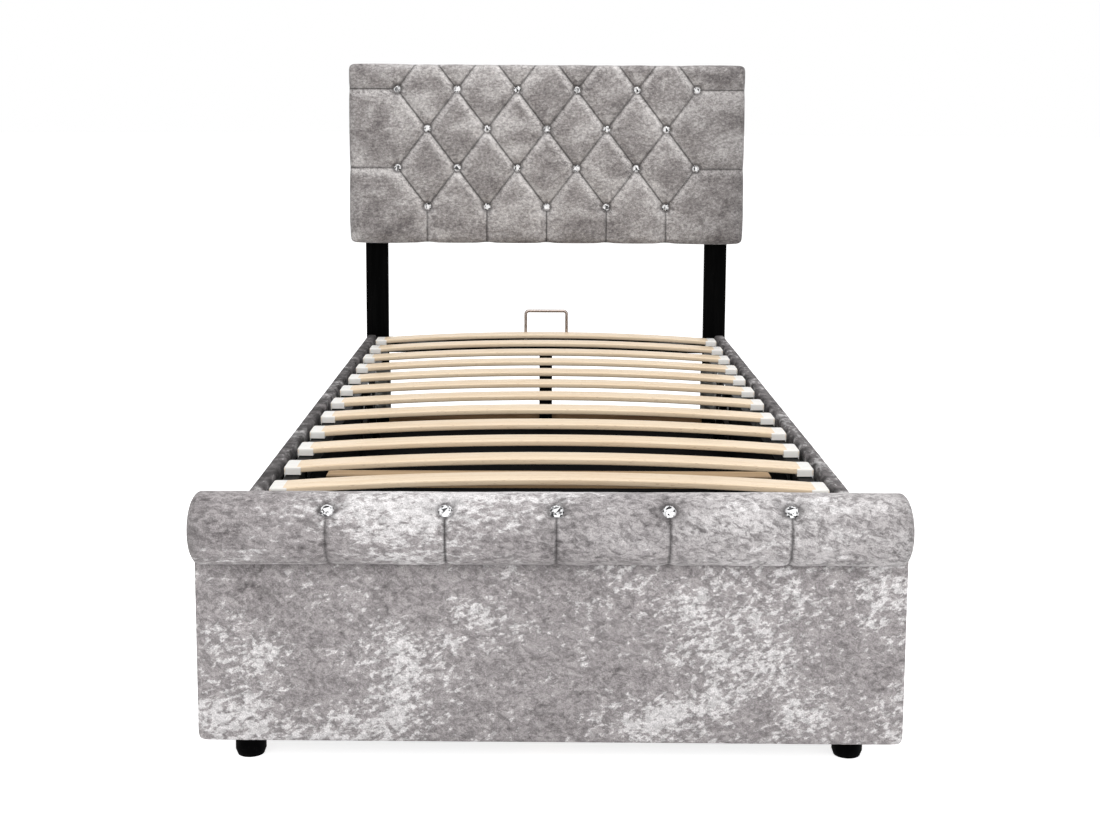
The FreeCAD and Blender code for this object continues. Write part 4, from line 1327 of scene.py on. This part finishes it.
@dataclass(frozen=True)
class FootboardSizes:
    """Sizes of the footboard's roll and panel."""

    button_shares: tuple[float, ...] = (-0.615, -0.29, 0.016, 0.325, 0.662)
    stone_radius: float = 0.0115
    button_angle: float = 46.0
    button_seat: float = 0.0373
    button_depth: float = 0.0085
    button_reach: float = 0.014
    pleat_depth: float = 0.0045
    pleat_reach: float = 0.016
    pleat_blunt: float = 0.001
    # Painted shade: the width of the dark line along each pleat.
    pleat_shade_width: float = 0.0019
    pucker: float = 0.0013
    pucker_start: float = 0.019
    pucker_width: float = 0.011
    rays: int = 9
    seam_angle: float = -92.0
    seam_width: float = 3.2
    seam_wave: float = 2.5
    # Painted shade at the roll's ends; painted highlight towards its right end.
    end_shade: float = 0.32
    end_reach: float = 0.035
    highlight_right: float = 0.60
    dome: float = 0.013
    rim: float = 0.010
    stretch: float = 0.0025
    round_segments: int = 110
    length_segments: int = 300
    end_segments: int = 16
    roll_lumps: tuple[Ripple, Ripple] = (((0.09, 0.045, 0.045), 2.0, 0.0012), ((0.03, 0.02, 0.02), 7.0, 0.0004))
    panel_inset: float = 0.001
    panel_rim: float = 0.012
    panel_wider_left: float = 0.0028
    panel_wider_right: float = 0.0068
    panel_lower_left: float = 0.002
    panel_lower_right: float = 0.0072
    panel_drop: float = 0.22
    panel_cell: float = 0.010
    panel_edge: float = 0.007
    panel_gap: float = 0.0006
    panel_waves: tuple[Ripple, Ripple] = (((0.22, 0.1, 0.12), 3.0, 0.0010), ((0.05, 0.05, 0.03), 8.0, 0.00045))
    panel_front: float = 0.006
    panel_relief: float = 0.008
    panel_border: Point = (0.01, 0.04)
    panel_free: float = 0.97
    swell_cap: float = 0.003
    swell_frames: int = 14
    roll_pressure: float = 2.5
    panel_pressure: float = 3.0
    held_below: Point = (0.75, 0.90)
    held_behind: Point = (0.5, 0.8)
    held_end: Point = (0.02, 0.01)
    pleat_above: Point = (2, -6)
    pleat_below: Point = (-112, -100)
    # Painted shade in the button pockets, in the pucker rings, along the seam and under the roll; painted highlight in
    # patches.
    pocket_shade: float = 0.7
    pocket_radius: float = 0.0125
    pocket_blur: float = 0.003
    ring_shade: float = 0.45
    seam_shade_strength: float = 0.9
    seam_waves: Triple = (0.06, 1, 1)
    patches: Ripple = ((0.10, 0.035, 0.035), 13.0, 0.9)
    highlight_range: Point = (-0.2, 0.6)
    shadow: Ripple = ((0.05, 1, 1), 6.0, 0.0015)
    shadow_blur: float = 0.0035
    shadow_dark: float = 0.9


class Footboard(Assembly):
    """The footboard: a flat velvet panel under a scroll roll with five crystals."""

    sizes = FootboardSizes()
    kept = (("footboard_board", "lined_board", 0.0008), ("footboard_roll_core", "pole_timber", 0.002))

    def __init__(self, palette: Palette) -> None:
        """Read the roll's axis from its packed cover.

        Args:
            palette: The materials.
        """
        super().__init__(palette)
        self.low, self.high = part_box("footboard_roll_cover")
        self.axis = (self.low + self.high) / 2
        self.radius = (self.high.z - self.low.z) / 2
        self.half = self.high.x
        self.buttons = [share * self.half for share in self.sizes.button_shares]

    def outline(self, share: float) -> Point:
        """Follow the roll from the middle of one end to the middle of the other.

        Args:
            share: How far along, from 0 to 1.

        Returns:
            The place across, and the radius.
        """
        sizes = self.sizes
        ends = sizes.end_segments / sizes.length_segments
        half = self.half + sizes.stretch
        straight = half - sizes.dome - sizes.rim * 0.3
        from_end = min(share, 1 - share)
        if from_end >= ends:
            return (share - 0.5) / (0.5 - ends) * straight, self.radius
        turn = from_end / ends * math.pi / 2
        bulge = (half - straight) * math.cos(turn) ** 0.9
        return (-1 if share < 0.5 else 1) * (straight + bulge), self.radius * math.sin(turn) ** 0.72

    def around(self, points: np.ndarray) -> np.ndarray:
        """Measure where points lie round the roll.

        Args:
            points: The points.

        Returns:
            Degrees above straight ahead.
        """
        return np.degrees(np.arctan2(points[:, 2] - self.axis.z, -(points[:, 1] - self.axis.y)))

    def roll(self) -> None:
        """Build the roll: a sphere drawn out along its axis, with pleats below the buttons."""
        sizes = self.sizes
        form = bmesh.new()
        bmesh.ops.create_uvsphere(
            form, u_segments=sizes.round_segments, v_segments=sizes.length_segments, radius=1.0,
        )
        for vert in form.verts:
            x, radius = self.outline(math.acos(max(-1.0, min(1.0, -vert.co.z))) / math.pi)
            around = Vector((vert.co.x, vert.co.y))
            around = around.normalized() if around.length > 1e-6 else Vector((0, 0))
            vert.co = Vector((x, self.axis.y + radius * around.x, self.axis.z + radius * around.y))
        piece = Piece("footboard_roll_velvet", form, self.palette["velvet_roll"])
        points = piece.points()
        depth, pleat = self.roll_depth(points)
        offset = points - np.array([0.0, self.axis.y, self.axis.z])
        offset[:, 0] = 0.0
        reach = np.maximum(np.linalg.norm(offset, axis=1, keepdims=True), 1e-6)
        piece.move_points(points - offset / reach * depth[:, None])
        below = ramp(-offset[:, 2] / reach[:, 0], *sizes.held_below)
        behind = ramp(offset[:, 1] / reach[:, 0], *sizes.held_behind)
        end = ramp(np.abs(points[:, 0]), *(self.half - border for border in sizes.held_end))
        held = np.max([np.clip(pleat * 1.4, 0, 1), below, behind, end], axis=0)
        piece.swell(held, sizes.swell_cap, sizes.roll_pressure, sizes.swell_frames)
        points = piece.points()
        lump = ripples(points, *sizes.roll_lumps) * ramp(reach[:, 0], 0, 0.03)
        piece.move_points(points + offset / reach * lump[:, None])
        # Painted shade: the pleat lines, button pockets, pucker rings, the seam and the darker ends.
        ends = sizes.end_shade * ramp(np.abs(points[:, 0]), self.half - sizes.end_reach, self.half)
        piece.tag("pleat", np.max([pleat, self.seam(points), ends], axis=0))
        # Painted highlight in patches, stronger towards the roll's right end.
        patches = np.clip(0.8 + ripples(points, sizes.patches), 0.2, 1.3)
        piece.tag("brushed", sizes.highlight_right * ramp(points[:, 0] / self.half, *sizes.highlight_range) * patches)
        piece.settle(Body.BASE, "footboard_roll_cover")

    def roll_depth(self, points: np.ndarray) -> tuple[np.ndarray, np.ndarray]:
        """Work out how far the roll is drawn in at its pleats and buttons.

        Args:
            points: The roll's points.

        Returns:
            The depth and how dark the painted shade is at the pleats, button pockets and pucker rings.
        """
        sizes = self.sizes
        angle = self.around(points)
        depth = np.zeros(len(points))
        crease_shade = np.zeros(len(points))
        front = ramp(angle, *(sizes.button_angle + more for more in sizes.pleat_above))
        front = front * ramp(angle, *sizes.pleat_below)
        round_way = np.radians(angle - sizes.button_angle) * self.radius
        for place in self.buttons:
            along = points[:, 0] - place
            across = np.abs(along)
            button = np.hypot(across, round_way)
            pleat = sizes.pleat_depth * fold(across, sizes.pleat_blunt, sizes.pleat_reach) * front
            depth = np.max([depth, pleat, sizes.button_depth * bell(button, sizes.button_reach)], axis=0)
            turn = np.arctan2(round_way, along)
            rays = 0.5 + 0.5 * np.cos(sizes.rays * turn + 3 * np.sin(2 * turn + place * 30))
            ring = bell(button - sizes.pucker_start, sizes.pucker_width) * rays
            depth = depth + sizes.pucker * ring
            # Painted shade: a dark line along each pleat, a dark button pocket and dark rays in the pucker ring.
            line = bell(across, sizes.pleat_shade_width) * front
            pocket = sizes.pocket_shade * bell(np.maximum(button - sizes.pocket_radius, 0), sizes.pocket_blur)
            crease_shade = np.max([crease_shade, line, pocket, sizes.ring_shade * ring], axis=0)
        return depth, crease_shade

    def seam(self, points: np.ndarray) -> np.ndarray:
        """Say how much painted shade falls on the roll's points along the wavy seam where it meets the panel.

        Args:
            points: The roll's points.

        Returns:
            How dark each point is, from 0 to 1.
        """
        sizes = self.sizes
        angle = self.around(points)
        wave = ripples(points * (1, 0, 0), (sizes.seam_waves, 5.0, sizes.seam_wave))
        near = bell(np.maximum(angle - sizes.seam_angle - wave, 0), sizes.seam_width)
        return near * (angle < 0) * sizes.seam_shade_strength

    def panel(self) -> None:
        """Build the panel's padded cover under the roll."""
        sizes = self.sizes
        low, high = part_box("footboard_panel_cover")
        inset, edge = sizes.panel_inset, sizes.panel_edge
        low = low + Vector((inset, inset, inset))
        high = high - Vector((inset, 0, 0))
        form = fine_block(low, high, (sizes.panel_cell, 0.004, sizes.panel_cell))
        open_back(form, low, high, sizes.panel_rim, -1.0)
        piece = Piece("footboard_panel_velvet", form, self.palette["velvet_panel"])
        points, _ = soften(piece.points(), low, high, edge, (edge, 0.0, 0.0))
        piece.move_points(points)
        front = ramp(points[:, 1], low.y + sizes.panel_front, low.y)
        start, end = sizes.panel_border
        inside = ramp(np.abs(points[:, 0]), self.half - start, self.half - end)
        inside *= ramp(points[:, 2], low.z + start, low.z + end)
        inside *= ramp(points[:, 2], self.low.z - 0.004, self.low.z - 0.024)
        held = 1 - np.clip(front * inside, 0, sizes.panel_free)
        piece.swell(held, sizes.swell_cap, sizes.panel_pressure, sizes.swell_frames)
        piece.refine()
        points = piece.points()
        relief = ramp(points[:, 1], low.y + sizes.panel_relief, low.y)
        points[:, 1] -= ripples(points, *sizes.panel_waves) * relief
        ahead = points[:, 1] - self.axis.y
        clear = self.radius + sizes.panel_gap
        ceiling = self.axis.z - np.sqrt(np.maximum(clear ** 2 - ahead ** 2, 0))
        points[:, 2] = np.minimum(points[:, 2], ceiling)
        share = points[:, 0] / self.half
        points[:, 0] += np.where(share > 0, sizes.panel_wider_right, sizes.panel_wider_left) * share
        lower = sizes.panel_lower_left + (sizes.panel_lower_right - sizes.panel_lower_left) * (1 + share) / 2
        points[:, 2] -= lower * ramp(points[:, 2], low.z + sizes.panel_drop, low.z)
        piece.move_points(points)
        # Painted shadow of the roll along the panel's top.
        wave = ripples(points * (1, 0, 0), sizes.shadow)
        shadow = bell(np.maximum(ceiling - points[:, 2] - wave, 0), sizes.shadow_blur)
        piece.tag("pleat", sizes.shadow_dark * shadow)
        piece.settle(Body.BASE, "footboard_panel_cover")

    def build(self) -> None:
        """Build the roll, the panel and the crystals, tilted up and forwards."""
        self.roll()
        self.panel()
        angle = math.radians(self.sizes.button_angle)
        outward = Vector((0, -math.cos(angle), math.sin(angle)))
        seats = [Vector((x, self.axis.y, self.axis.z)) + outward * self.sizes.button_seat for x in self.buttons]
        self.stones("footboard_crystals", self.sizes.stone_radius, seats, outward, 2, "footboard_buttons")


@dataclass(frozen=True)
class RailSizes:
    """Sizes of the side rails' covers."""

    cell: float = 0.006
    corner: float = 0.005
    thickness: float = 0.0014
    bottom_return: float = 0.016
    inner_return: float = 0.024
    roll_clear: float = 0.0508
    sunk: float = 0.0006
    pucker: float = 0.0026
    sag: float = 0.0005
    hem: float = 0.003
    lift: float = 0.0015
    # Painted shade on the cover's inner side, and along its top, darker on the left rail.
    inner_shade_reach: float = 0.010
    inner_shade_blur: float = 0.004
    top_shade_left: float = 0.93
    top_shade_right: float = 0.66
    top_band: float = 0.03
    top_edge: float = 0.002
    push_outside: float = 0.2
    push_inside: float = 1.6
    lift_outside: float = 0.3
    pucker_waves: Triple = (40, 26, 30)
    sag_waves: Point = (7, 9)
    hem_waves: float = 22
    lift_waves: float = 30
    lump_size: Triple = (0.05, 0.03, 0.05)
    streak_size: Triple = (0.05, 0.016, 0.05)


class SideRails(Assembly):
    """The two velvet covered side rails."""

    sizes = RailSizes()
    kept = (
        ("side_rail_right side_rail_left", "lined_board", 0.0008),
        ("ledger_right ledger_left", "softwood_along", 0.0008),
        ("corner_brackets", "zinc", 0.0006),
        ("frame_stops", "black_plastic", 0.001),
    )

    def profile(self, low: Vector, high: Vector) -> list[Point]:
        """Follow the cover's section from its bottom return round the outside to its inner hem.

        Args:
            low: The cover's lowest corner.
            high: Its highest corner.

        Returns:
            Places across and heights for the right-hand rail.
        """
        sizes = self.sizes
        corner = sizes.corner
        points = [(high.x - sizes.bottom_return, low.z), (high.x - sizes.bottom_return / 2, low.z)]
        for x, z, start in (
            (high.x - corner, low.z + corner, -90), (high.x - corner, high.z - corner, 0),
            (low.x + corner, high.z - corner, 90),
        ):
            for step in range(5):
                turn = math.radians(start + step * 22.5)
                points.append((x + corner * math.cos(turn), z + corner * math.sin(turn)))
        points.append((low.x, high.z - sizes.inner_return / 2))
        points.append((low.x, high.z - sizes.inner_return))
        return points

    def cover(self, side: Side) -> None:
        """Build one rail's cover as a wrapped sheet with puckers along its top.

        Args:
            side: The side of the bed.
        """
        sizes = self.sizes
        low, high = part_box("rail_cover_right")
        middle = (low.x + high.x) / 2
        outline = self.profile(low, high)
        lengths = [0.0]
        for first, second in zip(outline, outline[1:]):
            lengths.append(lengths[-1] + math.dist(first, second))
        form = bmesh.new()
        bmesh.ops.create_grid(
            form, x_segments=int(lengths[-1] / sizes.cell), y_segments=int((high.y - low.y) / (sizes.cell * 1.6)),
            size=0.5,
        )
        xs, zs = zip(*outline)
        for vert in form.verts:
            reach = (vert.co.x + 0.5) * lengths[-1]
            x = float(np.interp(reach, lengths, xs))
            z = float(np.interp(reach, lengths, zs))
            y = low.y + (vert.co.y + 0.5) * (high.y - low.y)
            upper = max(0.0, (z - high.z + sizes.top_band) / sizes.top_band)
            across, along, upwards = sizes.pucker_waves
            pucker = noise.noise(Vector((x * across, y * along + side.value * 9, z * upwards)))
            pucker = pucker * sizes.pucker * upper
            along, upwards = sizes.sag_waves
            sag = noise.noise(Vector((y * along, z * upwards, 3.0 + side.value))) * sizes.sag
            push = (pucker * sizes.push_outside + sag) if x > middle else -pucker * sizes.push_inside
            hem = 0.0
            if reach > lengths[-3]:
                hem = upper * noise.noise(Vector((y * sizes.hem_waves, 7.0, side.value))) * sizes.hem
            lift = noise.noise(Vector((y * sizes.lift_waves, 1.0, side.value * 5))) * sizes.lift
            lift = lift * (z > high.z - sizes.top_edge) * (1.0 if x < middle else sizes.lift_outside)
            vert.co = Vector((side.value * (x + push), y, z + hem + lift - sizes.sunk))
        roll_low, roll_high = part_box("footboard_roll_cover")
        axis = (roll_low + roll_high) / 2
        for vert in form.verts:
            rise = vert.co.z - axis.z
            if abs(rise) < sizes.roll_clear:
                vert.co.y = max(vert.co.y, axis.y + math.sqrt(sizes.roll_clear ** 2 - rise ** 2))
        bmesh.ops.recalc_face_normals(form, faces=form.faces)
        bmesh.ops.solidify(form, geom=form.faces, thickness=sizes.thickness)
        piece = Piece("rail_velvet_" + side.word, form, self.palette["velvet_rail"])
        points = piece.points()
        # Painted shade: dark in lumps on the inner side, and in streaks along the top, darker on the left rail than on
        # the right.
        dark_end = low.x + sizes.inner_shade_reach
        inner = ramp(np.abs(points[:, 0]), dark_end, dark_end - sizes.inner_shade_blur)
        lumps = np.clip(0.75 + ripples(points, (sizes.lump_size, 4.0 + side.value, 1.0)), 0.35, 1)
        upper = ramp(points[:, 2], high.z - sizes.corner * 1.2, high.z - sizes.corner * 0.2)
        streaks = np.clip(0.86 + ripples(points, (sizes.streak_size, 11.0 + side.value, 0.9)), 0.3, 1)
        # How dark the painted shade along the top is on this side.
        nap = sizes.top_shade_left if side is Side.LEFT else sizes.top_shade_right
        piece.tag("pleat", np.maximum(inner * lumps, upper * nap * streaks))
        piece.settle(Body.BASE, "rail_cover_" + side.word)

    def build(self) -> None:
        """Build both covers."""
        for side in Side:
            self.cover(side)


@dataclass(frozen=True)
class SlatSizes:
    """Sizes of the sprung slats and their caps."""

    count: int = 13
    thickness: float = 0.010
    cell: Triple = (0.018, 0.06, 0.01)
    edge: float = 0.0026
    skirt: float = 0.006
    skirt_gap: float = 0.0002
    skirt_half_width: float = 0.026
    corner: float = 0.0060
    crown: float = 0.0028
    wall: float = 0.0012
    depth_share: float = 0.85
    trim_inner: float = 0.0045
    trim_outer: float = 0.0015
    trim_side: float = 0.0013
    trim_top: float = 0.0024
    trim_bottom: float = 0.0014


class Slats(Assembly):
    """The thirteen bowed beech slats in their white end caps, and the brace below them."""

    sizes = SlatSizes()
    kept = (("cross_brace", "brace_timber", 0.0008), ("brace_brackets", "black_steel", 0.0005))

    def slat(self, node: str) -> None:
        """Build one slat with rounded long edges, bent to its bow.

        Args:
            node: The packed slat's name.
        """
        sizes = self.sizes
        low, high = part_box(node)
        bow = high.z - low.z - sizes.thickness
        bend = (high.x ** 2 + bow ** 2) / (2 * bow)
        half = high.x * bend / (bend + sizes.thickness)
        form = fine_block(Vector((-half, low.y, 0)), Vector((half, high.y, sizes.thickness)), sizes.cell)
        edges = [
            edge for edge in form.edges
            if abs(edge.verts[0].co.x - edge.verts[1].co.x) > MM and edge.calc_face_angle(0) > 1
        ]
        bevel(form, edges, sizes.edge, 3)
        heights = np.array([vert.co.z / sizes.thickness for vert in form.verts])
        for vert in form.verts:
            turn = vert.co.x / bend
            radius = bend + vert.co.z
            vert.co.x = radius * math.sin(turn)
            vert.co.z = high.z - sizes.thickness - bend + radius * math.cos(turn)
        piece = Piece("beech_" + node, form, self.palette["beech"])
        piece.sharpen()
        piece.tag("layer", heights)
        piece.settle(Body.FRAME, node)

    def cap(self) -> Form:
        """Make one right-hand cap about y = 0: a rounded socket with a skirt outside the side tube.

        Returns:
            The cap.
        """
        sizes = self.sizes
        low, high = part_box("slat_caps_right")
        first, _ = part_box("slat_01")
        last_low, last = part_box(f"slat_{sizes.count:02d}")
        _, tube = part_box("lift_side_tube_right")
        half = (high.y - low.y - first.y + last.y - (last.y - last_low.y)) / 2 - sizes.trim_side
        low = low + Vector((sizes.trim_inner, 0, 0))
        high = high - Vector((sizes.trim_outer, 0, sizes.trim_top))
        seat = low.z + sizes.skirt + sizes.trim_bottom
        form = block((low.x, -half, seat), (high.x, half, high.z))
        bevel(form, [
            edge for edge in form.edges
            if all(vert.co.x > high.x - MM for vert in edge.verts)
            and abs(edge.verts[0].co.z - edge.verts[1].co.z) > MM
        ], sizes.corner, 5)
        bevel(form, [
            edge for edge in form.edges
            if all(vert.co.z > high.z - MM / 10 for vert in edge.verts)
            and any(vert.co.x > low.x + MM for vert in edge.verts)
        ], sizes.crown, 3)
        mouth = [face for face in form.faces if face.normal.x < -0.9]
        bmesh.ops.inset_region(form, faces=mouth, thickness=sizes.wall, use_even_offset=True)
        pushed = bmesh.ops.extrude_face_region(form, geom=mouth)["geom"]
        bmesh.ops.delete(form, geom=mouth, context="FACES_ONLY")
        corners = [item for item in pushed if isinstance(item, bmesh.types.BMVert)]
        bmesh.ops.translate(form, vec=((high.x - low.x) * sizes.depth_share, 0, 0), verts=corners)
        width = sizes.skirt_half_width
        skirt = block(
            (tube.x + sizes.skirt_gap, -width, low.z), (high.x - sizes.wall / 2, width, seat + MM),
        )
        bevel(skirt, skirt.edges, sizes.wall, 2)
        mesh = to_mesh(skirt, "skirt")
        form.from_mesh(mesh)
        bpy.data.meshes.remove(mesh)
        return form

    def build(self) -> None:
        """Build every slat, and a set of caps for each side."""
        nodes = [f"slat_{index:02d}" for index in range(1, self.sizes.count + 1)]
        for node in nodes:
            self.slat(node)
        middles = [(low.y + high.y) / 2 for low, high in map(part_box, nodes)]
        for side in Side:
            mirror = Matrix.Scale(side.value, 4, (1, 0, 0))
            places = [Matrix.Translation((0, middle, 0)) @ mirror for middle in middles]
            piece = Piece("cap_set_" + side.word, copies(self.cap(), places), self.palette["white_plastic"])
            piece.sharpen()
            piece.settle(Body.FRAME, "slat_caps_" + side.word)


@dataclass(frozen=True)
class RetainerSizes:
    """Sizes of the mattress retainer, against its packed wire."""

    thicker: float = 1.32
    wider: float = 0.0035
    higher: float = 0.001
    bend: float = 0.008
    bend_steps: int = 8
    wire_steps: int = 5


class LiftFrame(Assembly):
    """The steel lifting frame with its arms, gas struts and mattress retainer."""

    sizes = RetainerSizes()
    kept = (
        ("lift_side_tube_right lift_side_tube_left lift_foot_tube lift_head_tube", "black_steel", 0.0012),
        ("lift_arm_right lift_arm_left hinge_plate_right hinge_plate_left", "black_steel", 0.0005),
        ("pivot_pins", "zinc", 0.0005),
        ("strut_cylinder_right strut_cylinder_left", "strut_paint", 0.0006),
        ("strut_rod_right strut_rod_left", "polished_rod", 0.0005),
    )

    def build(self) -> None:
        """Build the retainer, a bent wire hoop at the head end."""
        sizes = self.sizes
        low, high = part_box("mattress_retainer")
        wire = (high.y - low.y) / 2 * sizes.thicker
        middle = (low.y + high.y) / 2
        reach = high.x + sizes.wider - wire
        level = high.z + sizes.higher - wire
        steps = sizes.bend_steps
        path = [Vector((-reach, middle, low.z))]
        for side in (-1, 1):
            for step in range(steps + 1):
                turn = math.pi / 2 * (step if side < 0 else steps - step) / steps
                x = side * (reach - sizes.bend + sizes.bend * math.cos(turn))
                path.append(Vector((x, middle, level - sizes.bend + sizes.bend * math.sin(turn))))
        path.append(Vector((reach, middle, low.z)))
        curve = bpy.data.curves.new("retainer_path", "CURVE")
        curve.dimensions = "3D"
        curve.bevel_depth = wire
        curve.bevel_resolution = sizes.wire_steps
        curve.use_fill_caps = True
        spline = curve.splines.new("POLY")
        spline.points.add(len(path) - 1)
        for point, place in zip(spline.points, path):
            point.co = (*place, 1.0)
        holder = link("retainer_path", curve)
        bpy.context.view_layer.update()
        mesh = bpy.data.meshes.new_from_object(holder.evaluated_get(bpy.context.evaluated_depsgraph_get()))
        bpy.data.objects.remove(holder)
        form = bmesh.new()
        form.from_mesh(mesh)
        Piece("retainer_wire", form, self.palette["bright_wire"]).settle(
            Body.FRAME, "mattress_retainer",
        )


class Base(Assembly):
    """The storage floor, its supports and the head end."""

    kept = (
        ("floor_panel_foot floor_panel_head", "lined_board", 0.0008),
        ("floor_bearer", "softwood_along", 0.001),
        ("low_head_rail", "softwood_across", 0.0015),
        ("bearer_feet", "black_plastic", 0.0015),
        ("feet", "black_plastic", 0.006),
        ("head_cross_tube centre_leg", "black_steel", 0.0012),
    )


@dataclass(frozen=True)
class CameraSizes:
    """The camera as the photograph has it: angles in degrees, focal length and frame in its pixels."""

    place: Triple = (-0.016205, -3.18928, 0.92169)
    pitch: float = 7.422
    yaw: float = 0.363
    roll: float = 0.290
    focal: float = 1602.787
    width: float = 1100.0
    height: float = 824.0
    centre_row: float = 320.0


@dataclass(frozen=True)
class LightSizes:
    """A soft box: its size is its width and height."""

    name: str
    place: Triple
    target: Triple
    size: Point
    watts: float


class Studio:
    """The plain floor, the soft lights and the camera."""

    floor_radius = 60.0
    floor_glow = 0.80
    sky_light = 0.42
    lights = (
        LightSizes("key", (-1.8, -4.4, 2.3), (0, -0.5, 0.4), (2.4, 1.8), 78),
        LightSizes("fill", (2.6, -3.8, 1.3), (0, -0.4, 0.3), (2.2, 1.8), 42),
        LightSizes("top", (0.3, -0.1, 3.4), (0, 0.0, 0.3), (2.4, 3.0), 78),
    )

    def floor(self) -> None:
        """Lay a wide pale floor that looks white and still takes soft shadows."""
        form = bmesh.new()
        bmesh.ops.create_circle(form, cap_ends=True, radius=self.floor_radius, segments=96)
        floor = link("floor", to_mesh(form, "floor"))
        graph = Graph("pale_floor")
        graph.shade(Base_Color=(0.86, 0.86, 0.86), Roughness=0.9, Specular_IOR_Level=0.1)
        strength = graph.times(graph.seen(), self.floor_glow)
        glow = graph.add("ShaderNodeEmission", {"Color": (1, 1, 1), "Strength": strength})
        both = graph.add("ShaderNodeAddShader", {0: graph.shader.outputs[0], 1: glow.outputs[0]})
        graph.feed(graph.surface, both.outputs[0])
        floor.data.materials.append(graph.owner)

    def sky(self) -> None:
        """Surround the scene with white, which gives less light than it shows."""
        graph = Graph("studio", world=True)
        strength = graph.add("ShaderNodeMapRange", {"Value": graph.seen(), "To Min": self.sky_light, "To Max": 1.0})
        bpy.context.scene.world = graph.shade(Color=(1, 1, 1), Strength=strength.outputs[0])

    def light(self, sizes: LightSizes) -> None:
        """Add a soft box.

        Args:
            sizes: The light.
        """
        lamp = bpy.data.lights.new(sizes.name, "AREA")
        lamp.shape = "RECTANGLE"
        lamp.size, lamp.size_y = sizes.size
        lamp.energy = sizes.watts
        holder = link(sizes.name, lamp)
        holder.location = sizes.place
        ahead = Vector(sizes.target) - Vector(sizes.place)
        holder.rotation_euler = ahead.to_track_quat("-Z", "Y").to_euler()

    def camera(self) -> None:
        """Set the camera up as the photograph has it."""
        sizes = CameraSizes()
        yaw, pitch, roll = (math.radians(value) for value in (sizes.yaw, sizes.pitch, sizes.roll))
        ahead = Vector((math.sin(yaw) * math.cos(pitch), math.cos(yaw) * math.cos(pitch), -math.sin(pitch)))
        level = Vector((math.cos(yaw), -math.sin(yaw), 0))
        upright = level.cross(ahead)
        right = level * math.cos(roll) + upright * math.sin(roll)
        up = upright * math.cos(roll) - level * math.sin(roll)
        lens = bpy.data.cameras.new("camera")
        lens.sensor_width = 36.0
        lens.lens = sizes.focal / sizes.width * lens.sensor_width
        lens.shift_y = (sizes.centre_row - sizes.height / 2) / sizes.width
        lens.clip_start, lens.clip_end = 0.05, 200.0
        holder = link("camera", lens)
        holder.matrix_world = Matrix.Translation(sizes.place) @ Matrix((right, up, -ahead)).transposed().to_4x4()
        bpy.context.scene.camera = holder

    def build(self) -> None:
        """Set the studio up."""
        self.floor()
        self.sky()
        for sizes in self.lights:
            self.light(sizes)
        self.camera()


def main() -> None:
    """Build and finish the bed from the headboard to the base, then set the studio up."""
    logging.basicConfig(level=logging.INFO, format="%(name)s: %(message)s")
    palette = Palette()
    for kind in (Headboard, Footboard, SideRails, Slats, LiftFrame, Base):
        part = kind(palette)
        part.build()
        part.dress()
        log.info("%s is dressed", kind.__name__)
    Studio().build()
    scene = bpy.context.scene
    scene.view_settings.view_transform = "Standard"


if __name__ == "__main__":
    main()
